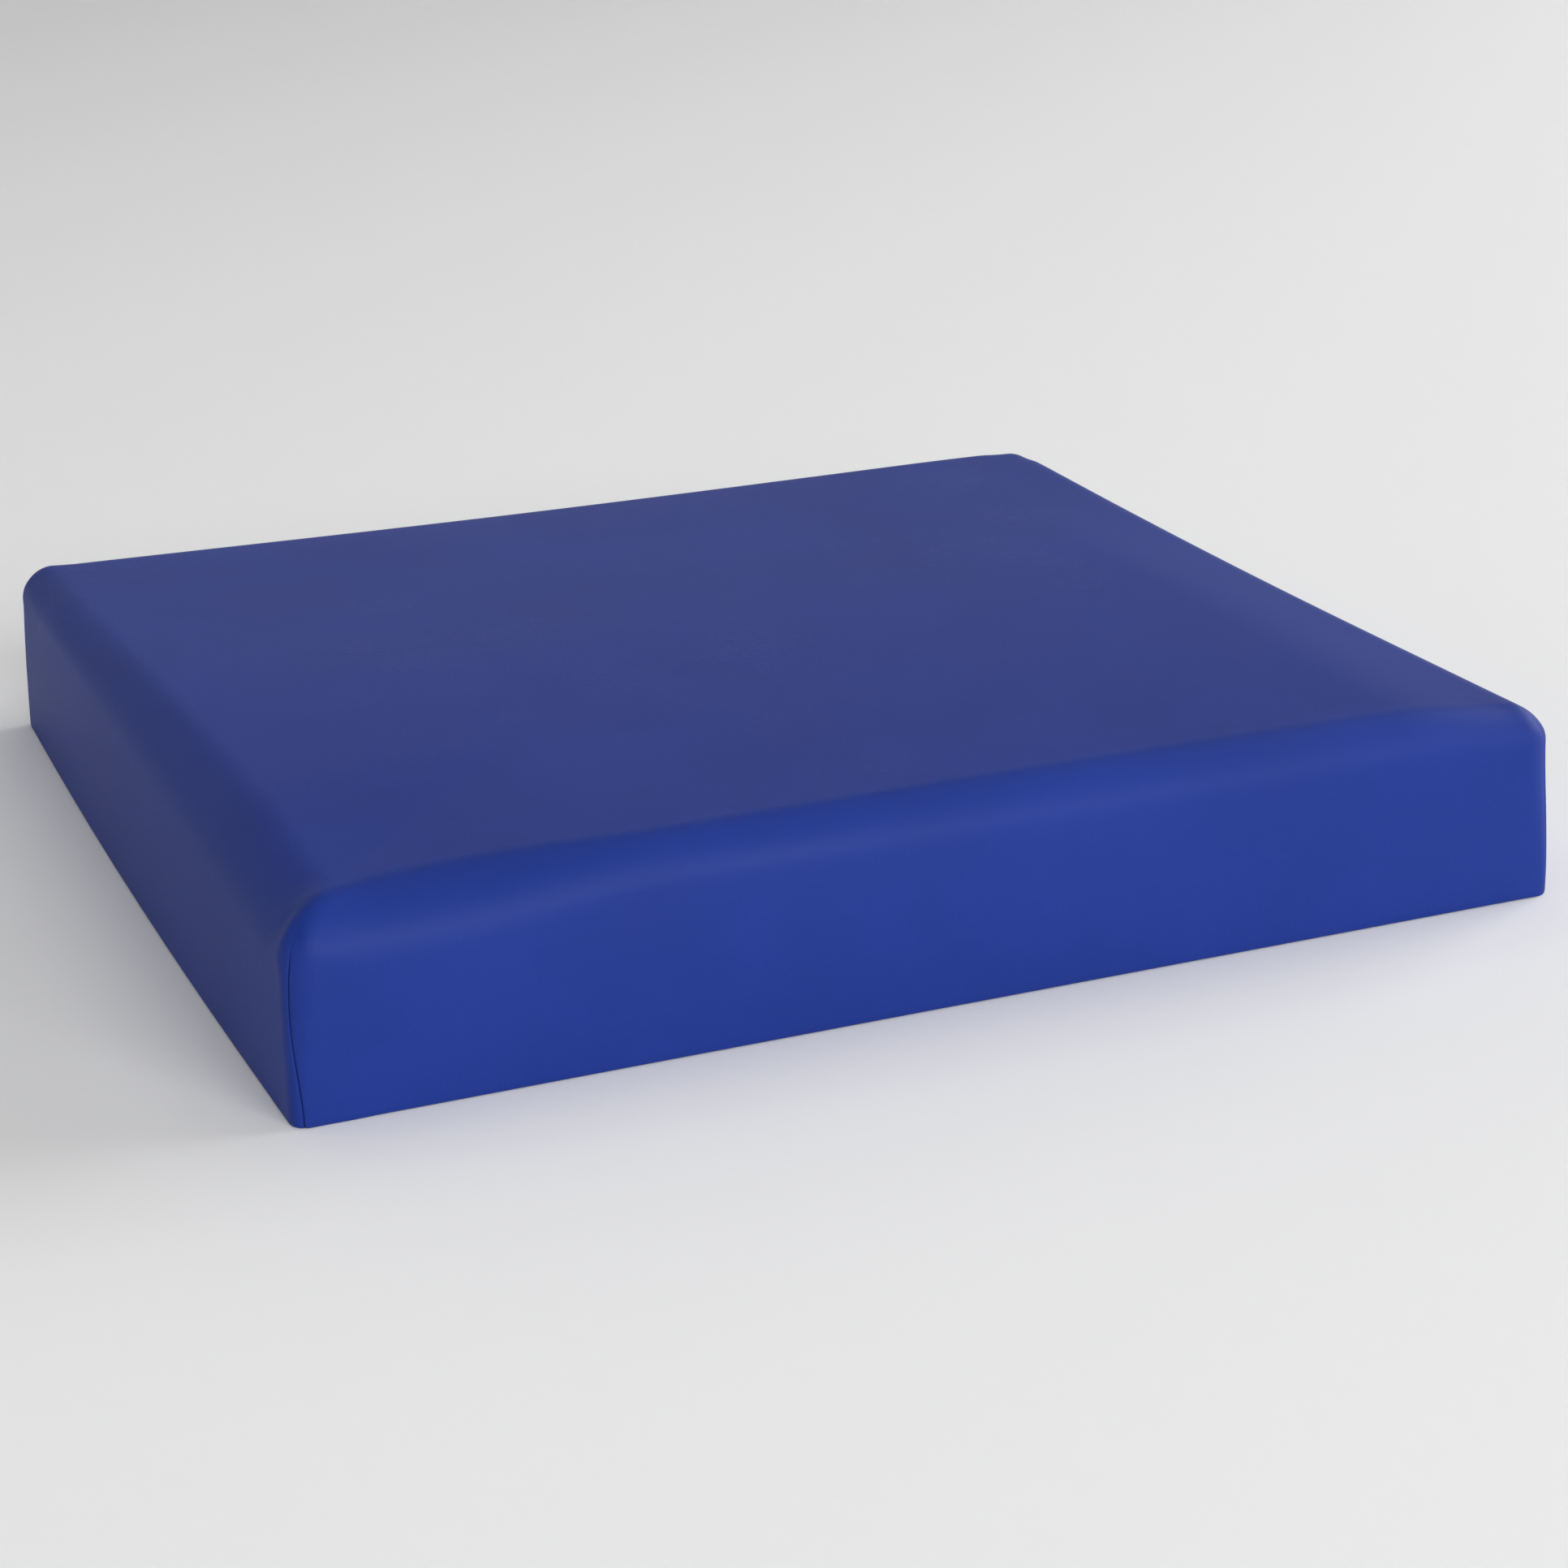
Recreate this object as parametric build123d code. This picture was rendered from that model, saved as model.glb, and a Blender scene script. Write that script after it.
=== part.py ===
"""Balance pad: a two-layer foam block in a zip-off leatherette cover with a non-slip underside.

Millimetres. X runs along the long sides, +Y points to the rear side, which holds the zip, and +Z is up.
The origin is the centre of the underside. The front faces -Y.

How it comes apart: the zip in the rear wall opens, and the firm and the soft foam layer pull out.
The cover is one cross-shaped sheet of leatherette. Its four flaps fold down over the edges of the foam
and are sewn to each other at the corners, from the underside up into the rounding of the top edge. The
rear flap ends above the zip, and a separate strip closes the wall below it. The base panel is
a shallow tray, whose turned-up rim is its seam allowance.
"""

from build123d import *
import os

# ---- driving dimensions -------------------------------------------------------------------------
LENGTH = 450.0
WIDTH = 400.0
HEIGHT = 68.0

SKIN = 1.0                # leatherette, with its knitted backing
BASE_SKIN = 1.2           # non-slip coated fabric of the underside
CORNER_RADIUS = 13.0      # upright corners, seen from above
TOP_EDGE_RADIUS = 12.5    # where the sheet folds over the foam
BOTTOM_EDGE_RADIUS = 0.8
SOFT_GAP = 0.1            # between soft pieces that lie against each other

SOFT_LAYER = 20.0         # thickness of the upper foam
RIM_HEIGHT = 10.0         # seam allowance of the base panel

# ---- corner seams -------------------------------------------------------------------------------
SEAM_TOP = 60.0           # the corner seams end here, in the rounding of the top edge
PLY_TOP = 57.0            # the seam allowance tapers out below the seam's end
SEAM_SLIT = 0.1
SEAM_ALLOWANCE = 9.0      # the two plies turn in this far behind the wall
PLY_CLEARANCE = 0.5       # the slot in the foam is this much larger than the plies
THREAD = 0.4              # diameter of the sewing thread
THREAD_FROM_FOLD = 1.5
THREAD_MARGIN = 1.0       # a corner's thread ends this far inside its plies

# ---- zip: a coil chain 6 mm wide in the rear wall ------------------------------------------------
ZIP_Z = 30.0              # height of the chain's centre line
WINDOW_HALF = 5.0         # the leatherette leaves this much open above and below the centre line
WINDOW_HALF_LENGTH = 198.0
TAPE = 0.6
TAPE_INNER = 0.4          # from the centre line to the tape's inner edge
TAPE_WIDTH = 14.0
TAPE_HALF_LENGTH = 206.0
TAPE_ROOM = 1.0           # the foam is cut back this far around the tapes
COIL_DEPTH = 2.2
COIL_SPINE = (1.0, 3.0)   # the solid part of a coil row, from the centre line
TOOTH_REACH = 0.9         # how far a tooth goes past the centre line
TOOTH = 0.9
PITCH = 2.0
CHAIN_START = -192.0
TOOTH_COUNT = 189         # in each row

SLIDER_X = 186.0          # middle of the slider when the zip is closed
SLIDER_LENGTH = 12.0
SLIDER_HALF_WIDTH = 4.6
SLIDER_PLATE = 0.9
SLIDER_CORNER = 1.8
SLIDER_EDGE = 0.3         # rounding of the outer plate's rim
SLIDER_GAP = 0.25         # between the slider and what runs through it
NECK_HALF_WIDTH = 1.6     # the wedge that parts the two rows
NECK_LENGTH = 4.0
NECK_SETBACK = 0.5        # from the slider's mouth to the wedge
BRIDGE_LENGTH = 6.0
BRIDGE_WIDTH = 1.2
BRIDGE_BAR = 0.8
BRIDGE_CLEAR = 1.3        # room for the pull's cross bar under the bridge
BRIDGE_ROUNDING = 0.7
PULL_BAR_RADIUS = 0.45
PULL_THICKNESS = 0.9
PULL_LENGTH = 23.0
PULL_HALF_WIDTH = 2.9
PULL_EYE_HALF_WIDTH = 1.4
PULL_EYE_END = 3.9
PULL_CORNER = 2.0
PULL_EDGE = 0.2
PULL_HOLE_FROM_END = 4.0
PULL_HOLE_LENGTH = 4.4
PULL_HOLE_WIDTH = 2.2
PULL_CHEEK_SETBACK = 0.6  # the cross bar ends this far inside the tab's sides
STOP_LENGTH = 2.6
STOP_ROUNDING = 0.6
TOP_STOP_GAP = 0.3        # from the slider's mouth to the top stops
TOP_STOP_INNER = 0.6      # from the centre line to a top stop
BOTTOM_STOP_GAP = 0.1
BOTTOM_STOP_OVERHANG = 0.3

# ---- top stitching along the zip -----------------------------------------------------------------
STITCH_FROM_EDGE = 2.5
STITCH_PITCH = 4.0
STITCH_LENGTH = 3.0
STITCH_DIAMETER = 0.5
STITCH_COUNT = 98         # in each row
STITCH_GAP = 0.02         # between a stitch and the wall

# ---- worked out from the above -------------------------------------------------------------------
REAR = WIDTH / 2                                   # outer face of the rear wall
TAPE_FRONT = REAR - SKIN - SOFT_GAP / 2            # the tape lies behind the wall
TAPE_BACK = TAPE_FRONT - TAPE
COIL_FRONT = TAPE_FRONT + COIL_DEPTH
PLATE_INNER = COIL_FRONT + SLIDER_GAP              # inner face of the slider's outer plate
PLATE_OUTER = PLATE_INNER + SLIDER_PLATE
BACK_PLATE_OUTER = TAPE_BACK - SLIDER_GAP
BACK_PLATE_INNER = BACK_PLATE_OUTER - SLIDER_PLATE
PULL_AXIS_Y = PLATE_OUTER + BRIDGE_CLEAR / 2
SLIDER_END = SLIDER_X + SLIDER_LENGTH / 2
NECK_START = SLIDER_END - NECK_SETBACK - NECK_LENGTH
CHAIN_END = CHAIN_START + PITCH * TOOTH_COUNT
CORNERS = [(sx, sy) for sx in (-1, 1) for sy in (-1, 1)]
CORNER_NAMES = {(-1, -1): "front_left", (1, -1): "front_right", (-1, 1): "rear_left", (1, 1): "rear_right"}


def block(x, y, z):
    """A box from three (low, high) pairs."""
    size = [high - low for low, high in (x, y, z)]
    centre = [(high + low) / 2 for low, high in (x, y, z)]
    return Pos(*centre) * Box(*size)


def slab(inset, low, high):
    """The pad's outline drawn in by inset, between two heights."""
    outline = RectangleRounded(LENGTH - 2 * inset, WIDTH - 2 * inset, CORNER_RADIUS - inset)
    return Pos(0, 0, low) * extrude(outline, high - low)


def top_edges(solid):
    return solid.edges().group_by(Axis.Z)[-1]


def bottom_edges(solid):
    return solid.edges().group_by(Axis.Z)[0]


def corner_frame(sx, sy):
    """A frame at the centre of a corner's arc, whose X points out through the corner."""
    turn = {(1, 1): 45, (-1, 1): 135, (-1, -1): 225, (1, -1): 315}[sx, sy]
    centre = (sx * (LENGTH / 2 - CORNER_RADIUS), sy * (WIDTH / 2 - CORNER_RADIUS), 0)
    return Pos(*centre) * Rot(0, 0, turn)


# ---- cover ---------------------------------------------------------------------------------------
def cover_shell():
    """The leatherette as one open-bottomed shell, before it is cut at its seams."""
    outer = slab(0, 0, HEIGHT)
    outer = fillet(top_edges(outer), TOP_EDGE_RADIUS)
    outer = fillet(bottom_edges(outer), BOTTOM_EDGE_RADIUS)
    inner = slab(SKIN, -1, HEIGHT - SKIN)
    inner = fillet(top_edges(inner), TOP_EDGE_RADIUS - SKIN)
    return outer - inner


def corner_plies(sx, sy, low, high, side):
    """One ply of a corner's seam allowance, on one side of the seam."""
    reach = CORNER_RADIUS - SKIN
    middle = side * (SEAM_SLIT + SKIN) / 2
    y = sorted((middle - SKIN / 2, middle + SKIN / 2))
    return corner_frame(sx, sy) * block((reach - SEAM_ALLOWANCE, reach + SKIN / 2), y, (low, high))


def corner_slit(sx, sy):
    """The gap between the two plies of a corner seam."""
    half = SEAM_SLIT / 2
    return corner_frame(sx, sy) * block((0, 2 * CORNER_RADIUS), (-half, half), (-1, SEAM_TOP))


def rear_region():
    """Everything behind the rear wall's seams and below the zip's centre line."""
    x, y = LENGTH / 2 - CORNER_RADIUS, WIDTH / 2 - CORNER_RADIUS
    out = 2 * CORNER_RADIUS
    outline = Polyline((-x, y), (x, y), (x + out, y + out), (-x - out, y + out), close=True)
    return Pos(0, 0, -1) * extrude(make_face(outline), ZIP_Z + 1)


def zip_window():
    """The opening in the rear wall, from the zip's bottom stop to its top stops."""
    x, z = WINDOW_HALF_LENGTH, WINDOW_HALF
    return block((-x, x), (REAR - 2 * SKIN, REAR + SKIN), (ZIP_Z - z, ZIP_Z + z))


def make_cover():
    """The cross-shaped top sheet and the rear strip below the zip."""
    shell = cover_shell()
    plies = []
    for sx, sy in CORNERS:
        for side in (-1, 1):
            plies.append(corner_plies(sx, sy, BASE_SKIN + SOFT_GAP, PLY_TOP, side))
    for ply in plies:
        shell += ply
    for sx, sy in CORNERS:
        shell -= corner_slit(sx, sy)
    shell -= zip_window()
    region = rear_region()
    strip = shell & region
    top = shell - region
    return top, strip


def make_base_panel():
    """A tray: the non-slip sheet and its turned-up seam allowance, notched at the corners."""
    inset = SKIN + SOFT_GAP / 2
    tray = slab(inset, 0, RIM_HEIGHT) - slab(inset + BASE_SKIN, BASE_SKIN, RIM_HEIGHT + 1)
    for sx, sy in CORNERS:
        half = SKIN + SEAM_SLIT + THREAD
        notch = block((0, 2 * CORNER_RADIUS), (-half, half), (BASE_SKIN, RIM_HEIGHT + 1))
        tray -= corner_frame(sx, sy) * notch
    return tray


# ---- foam ----------------------------------------------------------------------------------------
def make_foam():
    """The soft layer that is stood on, and the firm layer that keeps it from bottoming out."""
    inset = SKIN + SOFT_GAP
    top = HEIGHT - SKIN - SOFT_GAP
    split = top - SOFT_LAYER
    soft = slab(inset, split, top)
    soft = fillet(top_edges(soft), TOP_EDGE_RADIUS - inset)
    firm = slab(inset, BASE_SKIN + SOFT_GAP, split - SOFT_GAP)

    rim_thickness = BASE_SKIN + THREAD + SOFT_GAP
    rim = slab(0, 0, RIM_HEIGHT + SOFT_GAP) - slab(inset + rim_thickness, -1, RIM_HEIGHT + 1)
    firm -= rim
    x, z = TAPE_HALF_LENGTH + TAPE_ROOM, TAPE_INNER + TAPE_WIDTH + TAPE_ROOM
    firm -= block((-x, x), (BACK_PLATE_INNER - SLIDER_GAP, REAR), (ZIP_Z - z, ZIP_Z + z))
    for sx, sy in CORNERS:
        half = SEAM_SLIT / 2 + SKIN + THREAD + SOFT_GAP
        reach = CORNER_RADIUS - SKIN - SEAM_ALLOWANCE - PLY_CLEARANCE
        slot = block((reach, 2 * CORNER_RADIUS), (-half, half), (-1, PLY_TOP + PLY_CLEARANCE))
        slot = corner_frame(sx, sy) * slot
        firm -= slot
        soft -= slot
    return soft, firm


# ---- threads -------------------------------------------------------------------------------------
def make_corner_thread(sx, sy):
    """The needle thread and the bobbin thread of one corner seam, on either side of its plies."""
    low, high = BASE_SKIN + THREAD_MARGIN, PLY_TOP - THREAD_MARGIN
    x = CORNER_RADIUS - SKIN - THREAD_FROM_FOLD
    y = SEAM_SLIT / 2 + SKIN + THREAD / 2
    upright = Pos(0, 0, (low + high) / 2) * Cylinder(THREAD / 2, high - low)
    pair = [corner_frame(sx, sy) * Pos(x, side * y, 0) * upright for side in (-1, 1)]
    return Compound(children=[part.solid() for part in pair])


def make_base_thread():
    """The seam that joins the base panel's rim to the flaps: one loop inside the rim."""
    inset = SKIN + SOFT_GAP / 2 + BASE_SKIN
    low, high = RIM_HEIGHT / 2, RIM_HEIGHT / 2 + THREAD
    loop = slab(inset, low, high) - slab(inset + THREAD, low - 1, high + 1)
    for sx, sy in CORNERS:
        half = SKIN + SEAM_SLIT + THREAD
        gap = block((0, 2 * CORNER_RADIUS), (-half, half), (low - 1, high + 1))
        loop -= corner_frame(sx, sy) * gap
    return Compound(children=list(loop.solids()))


def make_zip_stitching(side):
    """One row of top stitches, above (1) or below (-1) the zip."""
    z = ZIP_Z + side * (WINDOW_HALF + STITCH_FROM_EDGE)
    y = REAR + STITCH_DIAMETER / 2 + STITCH_GAP
    stitch = Rot(0, 90, 0) * Cylinder(STITCH_DIAMETER / 2, STITCH_LENGTH)
    first = -STITCH_PITCH * (STITCH_COUNT - 1) / 2
    row = [Pos(first + i * STITCH_PITCH, y, z) * stitch for i in range(STITCH_COUNT)]
    return Compound(children=[part.solid() for part in row])


# ---- zip -----------------------------------------------------------------------------------------
def neck_outline(extra):
    """The wedge between the two rows, in (x, z), grown by extra: a point, then a block."""
    half = NECK_HALF_WIDTH + extra
    start, end = NECK_START - extra, NECK_START + NECK_LENGTH + extra
    points = [(start, ZIP_Z), (start + half, ZIP_Z + half), (end, ZIP_Z + half),
              (end, ZIP_Z - half), (start + half, ZIP_Z - half)]
    return make_face(Polyline(*points, close=True))


def prism(face, low, high):
    """A face drawn in (x, z), extruded along Y between two distances."""
    plane = Plane(origin=(0, high, 0), x_dir=(1, 0, 0), z_dir=(0, -1, 0))
    return extrude(plane * face, high - low)


def make_tape(side):
    inner, outer = TAPE_INNER, TAPE_INNER + TAPE_WIDTH
    z = sorted((ZIP_Z + side * inner, ZIP_Z + side * outer))
    tape = block((-TAPE_HALF_LENGTH, TAPE_HALF_LENGTH), (TAPE_BACK, TAPE_FRONT), z)
    return tape - prism(neck_outline(SLIDER_GAP), TAPE_BACK - 1, TAPE_FRONT + 1)


def make_coil(side):
    """One row of the chain: a spine with teeth that reach past the centre line between the other row's."""
    spine_in, spine_out = COIL_SPINE
    offset = 0 if side > 0 else PITCH / 2
    points = [(CHAIN_START, spine_out)]
    points.append((CHAIN_START, spine_in))
    for i in range(TOOTH_COUNT):
        x = CHAIN_START + offset + i * PITCH + (PITCH / 2 - TOOTH) / 2
        points += [(x, spine_in), (x, -TOOTH_REACH), (x + TOOTH, -TOOTH_REACH), (x + TOOTH, spine_in)]
    points += [(CHAIN_END, spine_in), (CHAIN_END, spine_out)]
    face = make_face(Polyline(*[(x, ZIP_Z + side * z) for x, z in points], close=True))
    return prism(face, TAPE_FRONT, COIL_FRONT)


def make_slider():
    """Two plates joined by the neck, flanges that hold the rows together, and a bridge for the pull."""
    x = (SLIDER_X - SLIDER_LENGTH / 2, SLIDER_END)
    z = (ZIP_Z - SLIDER_HALF_WIDTH, ZIP_Z + SLIDER_HALF_WIDTH)
    outer_plate = block(x, (PLATE_INNER, PLATE_OUTER), z)
    outer_plate = fillet(outer_plate.edges().filter_by(Axis.Y), SLIDER_CORNER)
    outer_plate = fillet(outer_plate.edges().group_by(Axis.Y)[-1], SLIDER_EDGE)
    back_plate = block(x, (BACK_PLATE_INNER, BACK_PLATE_OUTER), z)
    back_plate = fillet(back_plate.edges().filter_by(Axis.Y), SLIDER_CORNER)
    slider = outer_plate + back_plate
    flange_low = TAPE_FRONT + SLIDER_GAP
    flange_in = COIL_SPINE[1] + SLIDER_GAP
    for side in (-1, 1):
        flange_z = sorted((ZIP_Z + side * flange_in, ZIP_Z + side * SLIDER_HALF_WIDTH))
        slider += block((x[0] + SLIDER_CORNER, x[1] - SLIDER_CORNER), (flange_low, PLATE_INNER), flange_z)
    slider += prism(neck_outline(0), BACK_PLATE_OUTER, PLATE_INNER)
    half = BRIDGE_LENGTH / 2
    bridge = block(
        (SLIDER_X - half, SLIDER_X + half),
        (PLATE_OUTER, PLATE_OUTER + BRIDGE_CLEAR + BRIDGE_BAR),
        (ZIP_Z - BRIDGE_WIDTH / 2, ZIP_Z + BRIDGE_WIDTH / 2),
    )
    crown = bridge.edges().filter_by(Axis.Z).group_by(Axis.Y)[-1]
    bridge = fillet(crown, BRIDGE_ROUNDING)
    bridge -= block(
        (SLIDER_X - half + BRIDGE_BAR, SLIDER_X + half - BRIDGE_BAR),
        (PLATE_OUTER, PLATE_OUTER + BRIDGE_CLEAR),
        (ZIP_Z - BRIDGE_WIDTH, ZIP_Z + BRIDGE_WIDTH),
    )
    return slider + bridge


def make_pull():
    """A flat tab with an eye at one end. It turns about the cross bar under the slider's bridge."""
    half = PULL_THICKNESS / 2
    outline = Pos(-PULL_LENGTH / 2, 0) * RectangleRounded(PULL_LENGTH, 2 * PULL_HALF_WIDTH, PULL_CORNER)
    tab = prism(outline, -half, half)
    rims = tab.edges().group_by(Axis.Y)
    tab = fillet(rims[0] + rims[-1], PULL_EDGE)
    eye = Pos(-PULL_EYE_END / 2, 0) * Rectangle(PULL_EYE_END, 2 * PULL_EYE_HALF_WIDTH)
    hole = Pos(PULL_HOLE_FROM_END - PULL_LENGTH, 0) * SlotOverall(PULL_HOLE_LENGTH, PULL_HOLE_WIDTH)
    bar_end = Rectangle(2 * PULL_BAR_RADIUS, 4 * PULL_HALF_WIDTH)
    for opening in (eye, hole, bar_end):
        tab -= prism(opening, -PULL_THICKNESS, PULL_THICKNESS)
    bar_half = PULL_HALF_WIDTH - PULL_CHEEK_SETBACK
    bar = Cylinder(PULL_BAR_RADIUS, 2 * bar_half)
    cheek = block((-2 * PULL_BAR_RADIUS, 0), (-half, half), (PULL_EYE_HALF_WIDTH, bar_half))
    cheeks = cheek + mirror(cheek, Plane.XY)
    return Pos(SLIDER_X, PULL_AXIS_Y, ZIP_Z) * (tab + bar + cheeks)


def make_top_stops():
    """A crimp on the inner edge of each tape, just past the slider's mouth."""
    start = SLIDER_END + TOP_STOP_GAP
    x = (start, start + STOP_LENGTH)
    stops = []
    for side in (-1, 1):
        z = sorted((ZIP_Z + side * TOP_STOP_INNER, ZIP_Z + side * COIL_SPINE[1]))
        stop = block(x, (TAPE_FRONT, COIL_FRONT), z)
        stops.append(fillet(stop.edges().filter_by(Axis.X).group_by(Axis.Y)[-1], STOP_ROUNDING))
    return Compound(children=[stop.solid() for stop in stops])


def make_bottom_stop():
    """One crimp across both rows at the open end."""
    end = CHAIN_START - BOTTOM_STOP_GAP
    half = COIL_SPINE[1] + BOTTOM_STOP_OVERHANG
    stop = block((end - STOP_LENGTH, end), (TAPE_FRONT, COIL_FRONT), (ZIP_Z - half, ZIP_Z + half))
    return fillet(stop.edges().filter_by(Axis.X).group_by(Axis.Y)[-1], STOP_ROUNDING)


def main():
    top_cover, rear_strip = make_cover()
    foam_soft, foam_firm = make_foam()
    parts = {
        "top_cover": top_cover,
        "rear_strip": rear_strip,
        "base_panel": make_base_panel(),
        "foam_soft_layer": foam_soft,
        "foam_firm_layer": foam_firm,
        "base_seam_thread": make_base_thread(),
        "zip_tape_upper": make_tape(1),
        "zip_tape_lower": make_tape(-1),
        "zip_coil_upper": make_coil(1),
        "zip_coil_lower": make_coil(-1),
        "zip_stitching_upper": make_zip_stitching(1),
        "zip_stitching_lower": make_zip_stitching(-1),
        "zip_top_stops": make_top_stops(),
        "zip_bottom_stop": make_bottom_stop(),
        "zip_slider": make_slider(),
        "zip_pull": make_pull(),
    }
    for corner in CORNERS:
        parts["corner_seam_thread_" + CORNER_NAMES[corner]] = make_corner_thread(*corner)
    os.makedirs("parts", exist_ok=True)
    for name, shape in parts.items():
        export_step(shape, f"parts/{name}.step")


main()
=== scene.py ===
"""Looks of the balance pad: a foam block in a zip-off leatherette cover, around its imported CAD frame.

Lengths are metres, in the frame of the CAD model: X along the long sides, the front faces -Y, the zip
is in the rear wall (+Y), and the pad stands on z = 0.
"""

import math

import bmesh
import bpy
import numpy as np
from mathutils import Matrix, Vector
from mathutils.kdtree import KDTree


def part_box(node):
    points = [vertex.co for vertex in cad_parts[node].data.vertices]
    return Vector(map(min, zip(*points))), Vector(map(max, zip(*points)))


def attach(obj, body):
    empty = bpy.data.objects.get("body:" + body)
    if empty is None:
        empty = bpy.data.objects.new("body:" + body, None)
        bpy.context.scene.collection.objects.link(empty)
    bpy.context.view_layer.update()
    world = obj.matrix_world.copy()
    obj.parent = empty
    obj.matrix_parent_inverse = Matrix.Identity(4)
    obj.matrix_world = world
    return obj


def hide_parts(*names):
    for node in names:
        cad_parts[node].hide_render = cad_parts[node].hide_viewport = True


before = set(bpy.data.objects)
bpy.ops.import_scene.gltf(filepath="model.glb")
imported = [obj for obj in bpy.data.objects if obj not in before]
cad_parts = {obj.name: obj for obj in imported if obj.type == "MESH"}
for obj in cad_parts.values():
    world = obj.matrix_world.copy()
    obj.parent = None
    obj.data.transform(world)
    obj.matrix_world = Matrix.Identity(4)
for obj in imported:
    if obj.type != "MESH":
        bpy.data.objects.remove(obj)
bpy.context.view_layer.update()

MM = 0.001

# ---- sizes read from the frame ----
HALF_X, HALF_Y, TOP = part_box("top_cover")[1]
TAPE_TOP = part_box("zip_tape_upper")[1].z
coil_low, coil_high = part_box("zip_coil_upper")
ZIP_Z = (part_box("zip_slider")[0].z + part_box("zip_slider")[1].z) / 2
SOFT_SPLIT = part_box("foam_soft_layer")[0].z

# ---- driving dimensions ----
CORNER = 12.75 * MM            # radius of the upright corners and of the top edge
SHEET = 0.8 * MM               # leatherette
FOLD = 0.82 * MM               # outer radius where the sheet folds at a seam
SEAM_GAP = 0.05 * MM           # from a seam's middle to each ply
SLIT_AT_TIP = 0.003 * MM        # the same where the seam starts
ALLOWANCE = 8.0 * MM           # the plies of a corner seam turn in this far
PLY_AT_TIP = 0.22              # share of that at the seam's tip
PLY_LOW, PLY_RAMP = 2.0 * MM, 12.0 * MM    # they are short at the floor, and whole this much higher
PLY_STEPS = 5
TAPER = 14.0 * MM              # length over which a seam grows below its tip
HEM = 7.0 * MM                 # turned up inside the lower edge and behind the zip's window
COARSE = 3.6 * MM              # usual mesh spacing
WINDOW = 5.0 * MM              # half height of the zip's window
WINDOW_END = 195.0 * MM        # the window narrows from here to the end of the next stretch
WINDOW_TAPER = 6.0 * MM
ZIP_SWELL = 0.7 * MM           # the doubled sheet stands this proud along the window
ZIP_SWELL_FADE = 4.0 * MM
MERGE = 0.001 * MM             # vertices of joined edges coincide to this
SEAM_TIP = TOP - CORNER + CORNER / math.sqrt(3)   # height where the three faces of a corner meet


# ---- small helpers ----
def smooth(t):
    """0 below 0, 1 above 1 and a smooth step between."""
    t = np.clip(t, 0.0, 1.0)
    return t * t * (3 - 2 * t)


def fade_out(t, start, length):
    """1 up to start, 0 beyond start + length and a smooth step between."""
    return 1 - smooth((t - start) / length)


def bell(t, width):
    """1 at 0, falling to about a third at the width and to nothing further out."""
    return np.exp(-(t / width) ** 2)


def arch(t):
    """1 at 0, falling to 0 at -1 and 1."""
    return np.clip(1 - t * t, 0.0, 1.0)


def grid_faces(rows, columns, start=0):
    """Quads between neighbouring rows of vertices, which face out when columns run right and rows down."""
    i, j = np.meshgrid(np.arange(rows - 1), np.arange(columns - 1), indexing="ij")
    a = (start + i * columns + j).ravel()
    return np.column_stack([a, a + columns, a + columns + 1, a + 1])


def make_mesh(name, vertices, faces, materials, merge=0.0):
    """A smooth-shaded mesh object. Vertices nearer than merge become one."""
    mesh = bpy.data.meshes.new(name)
    mesh.from_pydata(np.asarray(vertices, float).tolist(), [], [list(map(int, f)) for f in faces])
    if merge:
        bm = bmesh.new()
        bm.from_mesh(mesh)
        bmesh.ops.remove_doubles(bm, verts=bm.verts, dist=merge)
        bmesh.ops.dissolve_degenerate(bm, edges=bm.edges, dist=merge / 10)
        bm.to_mesh(mesh)
        bm.free()
    mesh.shade_smooth()
    for material in materials:
        mesh.materials.append(material)
    made = bpy.data.objects.new(name, mesh)
    bpy.context.scene.collection.objects.link(made)
    return made


def thicken(piece, thickness, inner_material=0):
    """Gives a sheet its thickness, inwards from the side that shows."""
    solid = piece.modifiers.new("thickness", "SOLIDIFY")
    solid.thickness = thickness
    solid.offset = -1
    solid.material_offset = inner_material
    apply_modifiers(piece)


def apply_modifiers(piece):
    """Replaces a piece's mesh by what its modifiers make of it."""
    graph = bpy.context.evaluated_depsgraph_get()
    made = bpy.data.meshes.new_from_object(piece.evaluated_get(graph))
    piece.modifiers.clear()
    piece.data = made


def put_on_pad(piece, node=None):
    """Hides the CAD node a piece stands for, if one is given, and fixes the piece to the pad."""
    if node is not None:
        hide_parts(node)
    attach(piece, "pad")


# ---- the pad's shape ----
def graded(half, spacing):
    """Lines from -half to half, closer together at the ends."""
    count = int(round(2 * half / spacing))
    t = np.linspace(-1, 1, count + 1)
    return half * (t + 0.4 * np.sin(math.pi * t) / math.pi)


SEAM_LINES = np.array([0.0, 0.062, 0.24, 0.506, 0.82, 1.5, 2.4, 3.6, 5.1, 6.8, 8.4]) * MM
EDGE_LINES = np.linspace(0, CORNER * math.pi / 4, 8)[:-1]


def arc_offsets(distances):
    """How far past the flat part lines lie on the sharp box, by their distance along the arc."""
    return CORNER * np.tan(math.pi / 4 - distances / CORNER)


def side_lines(half, spacing=COARSE):
    """Lines across one side of the pad, from one corner seam to the next."""
    flat = half - CORNER
    arc = flat + arc_offsets(SEAM_LINES)
    return np.concatenate([-arc, graded(flat, spacing), arc[::-1]])


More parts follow.
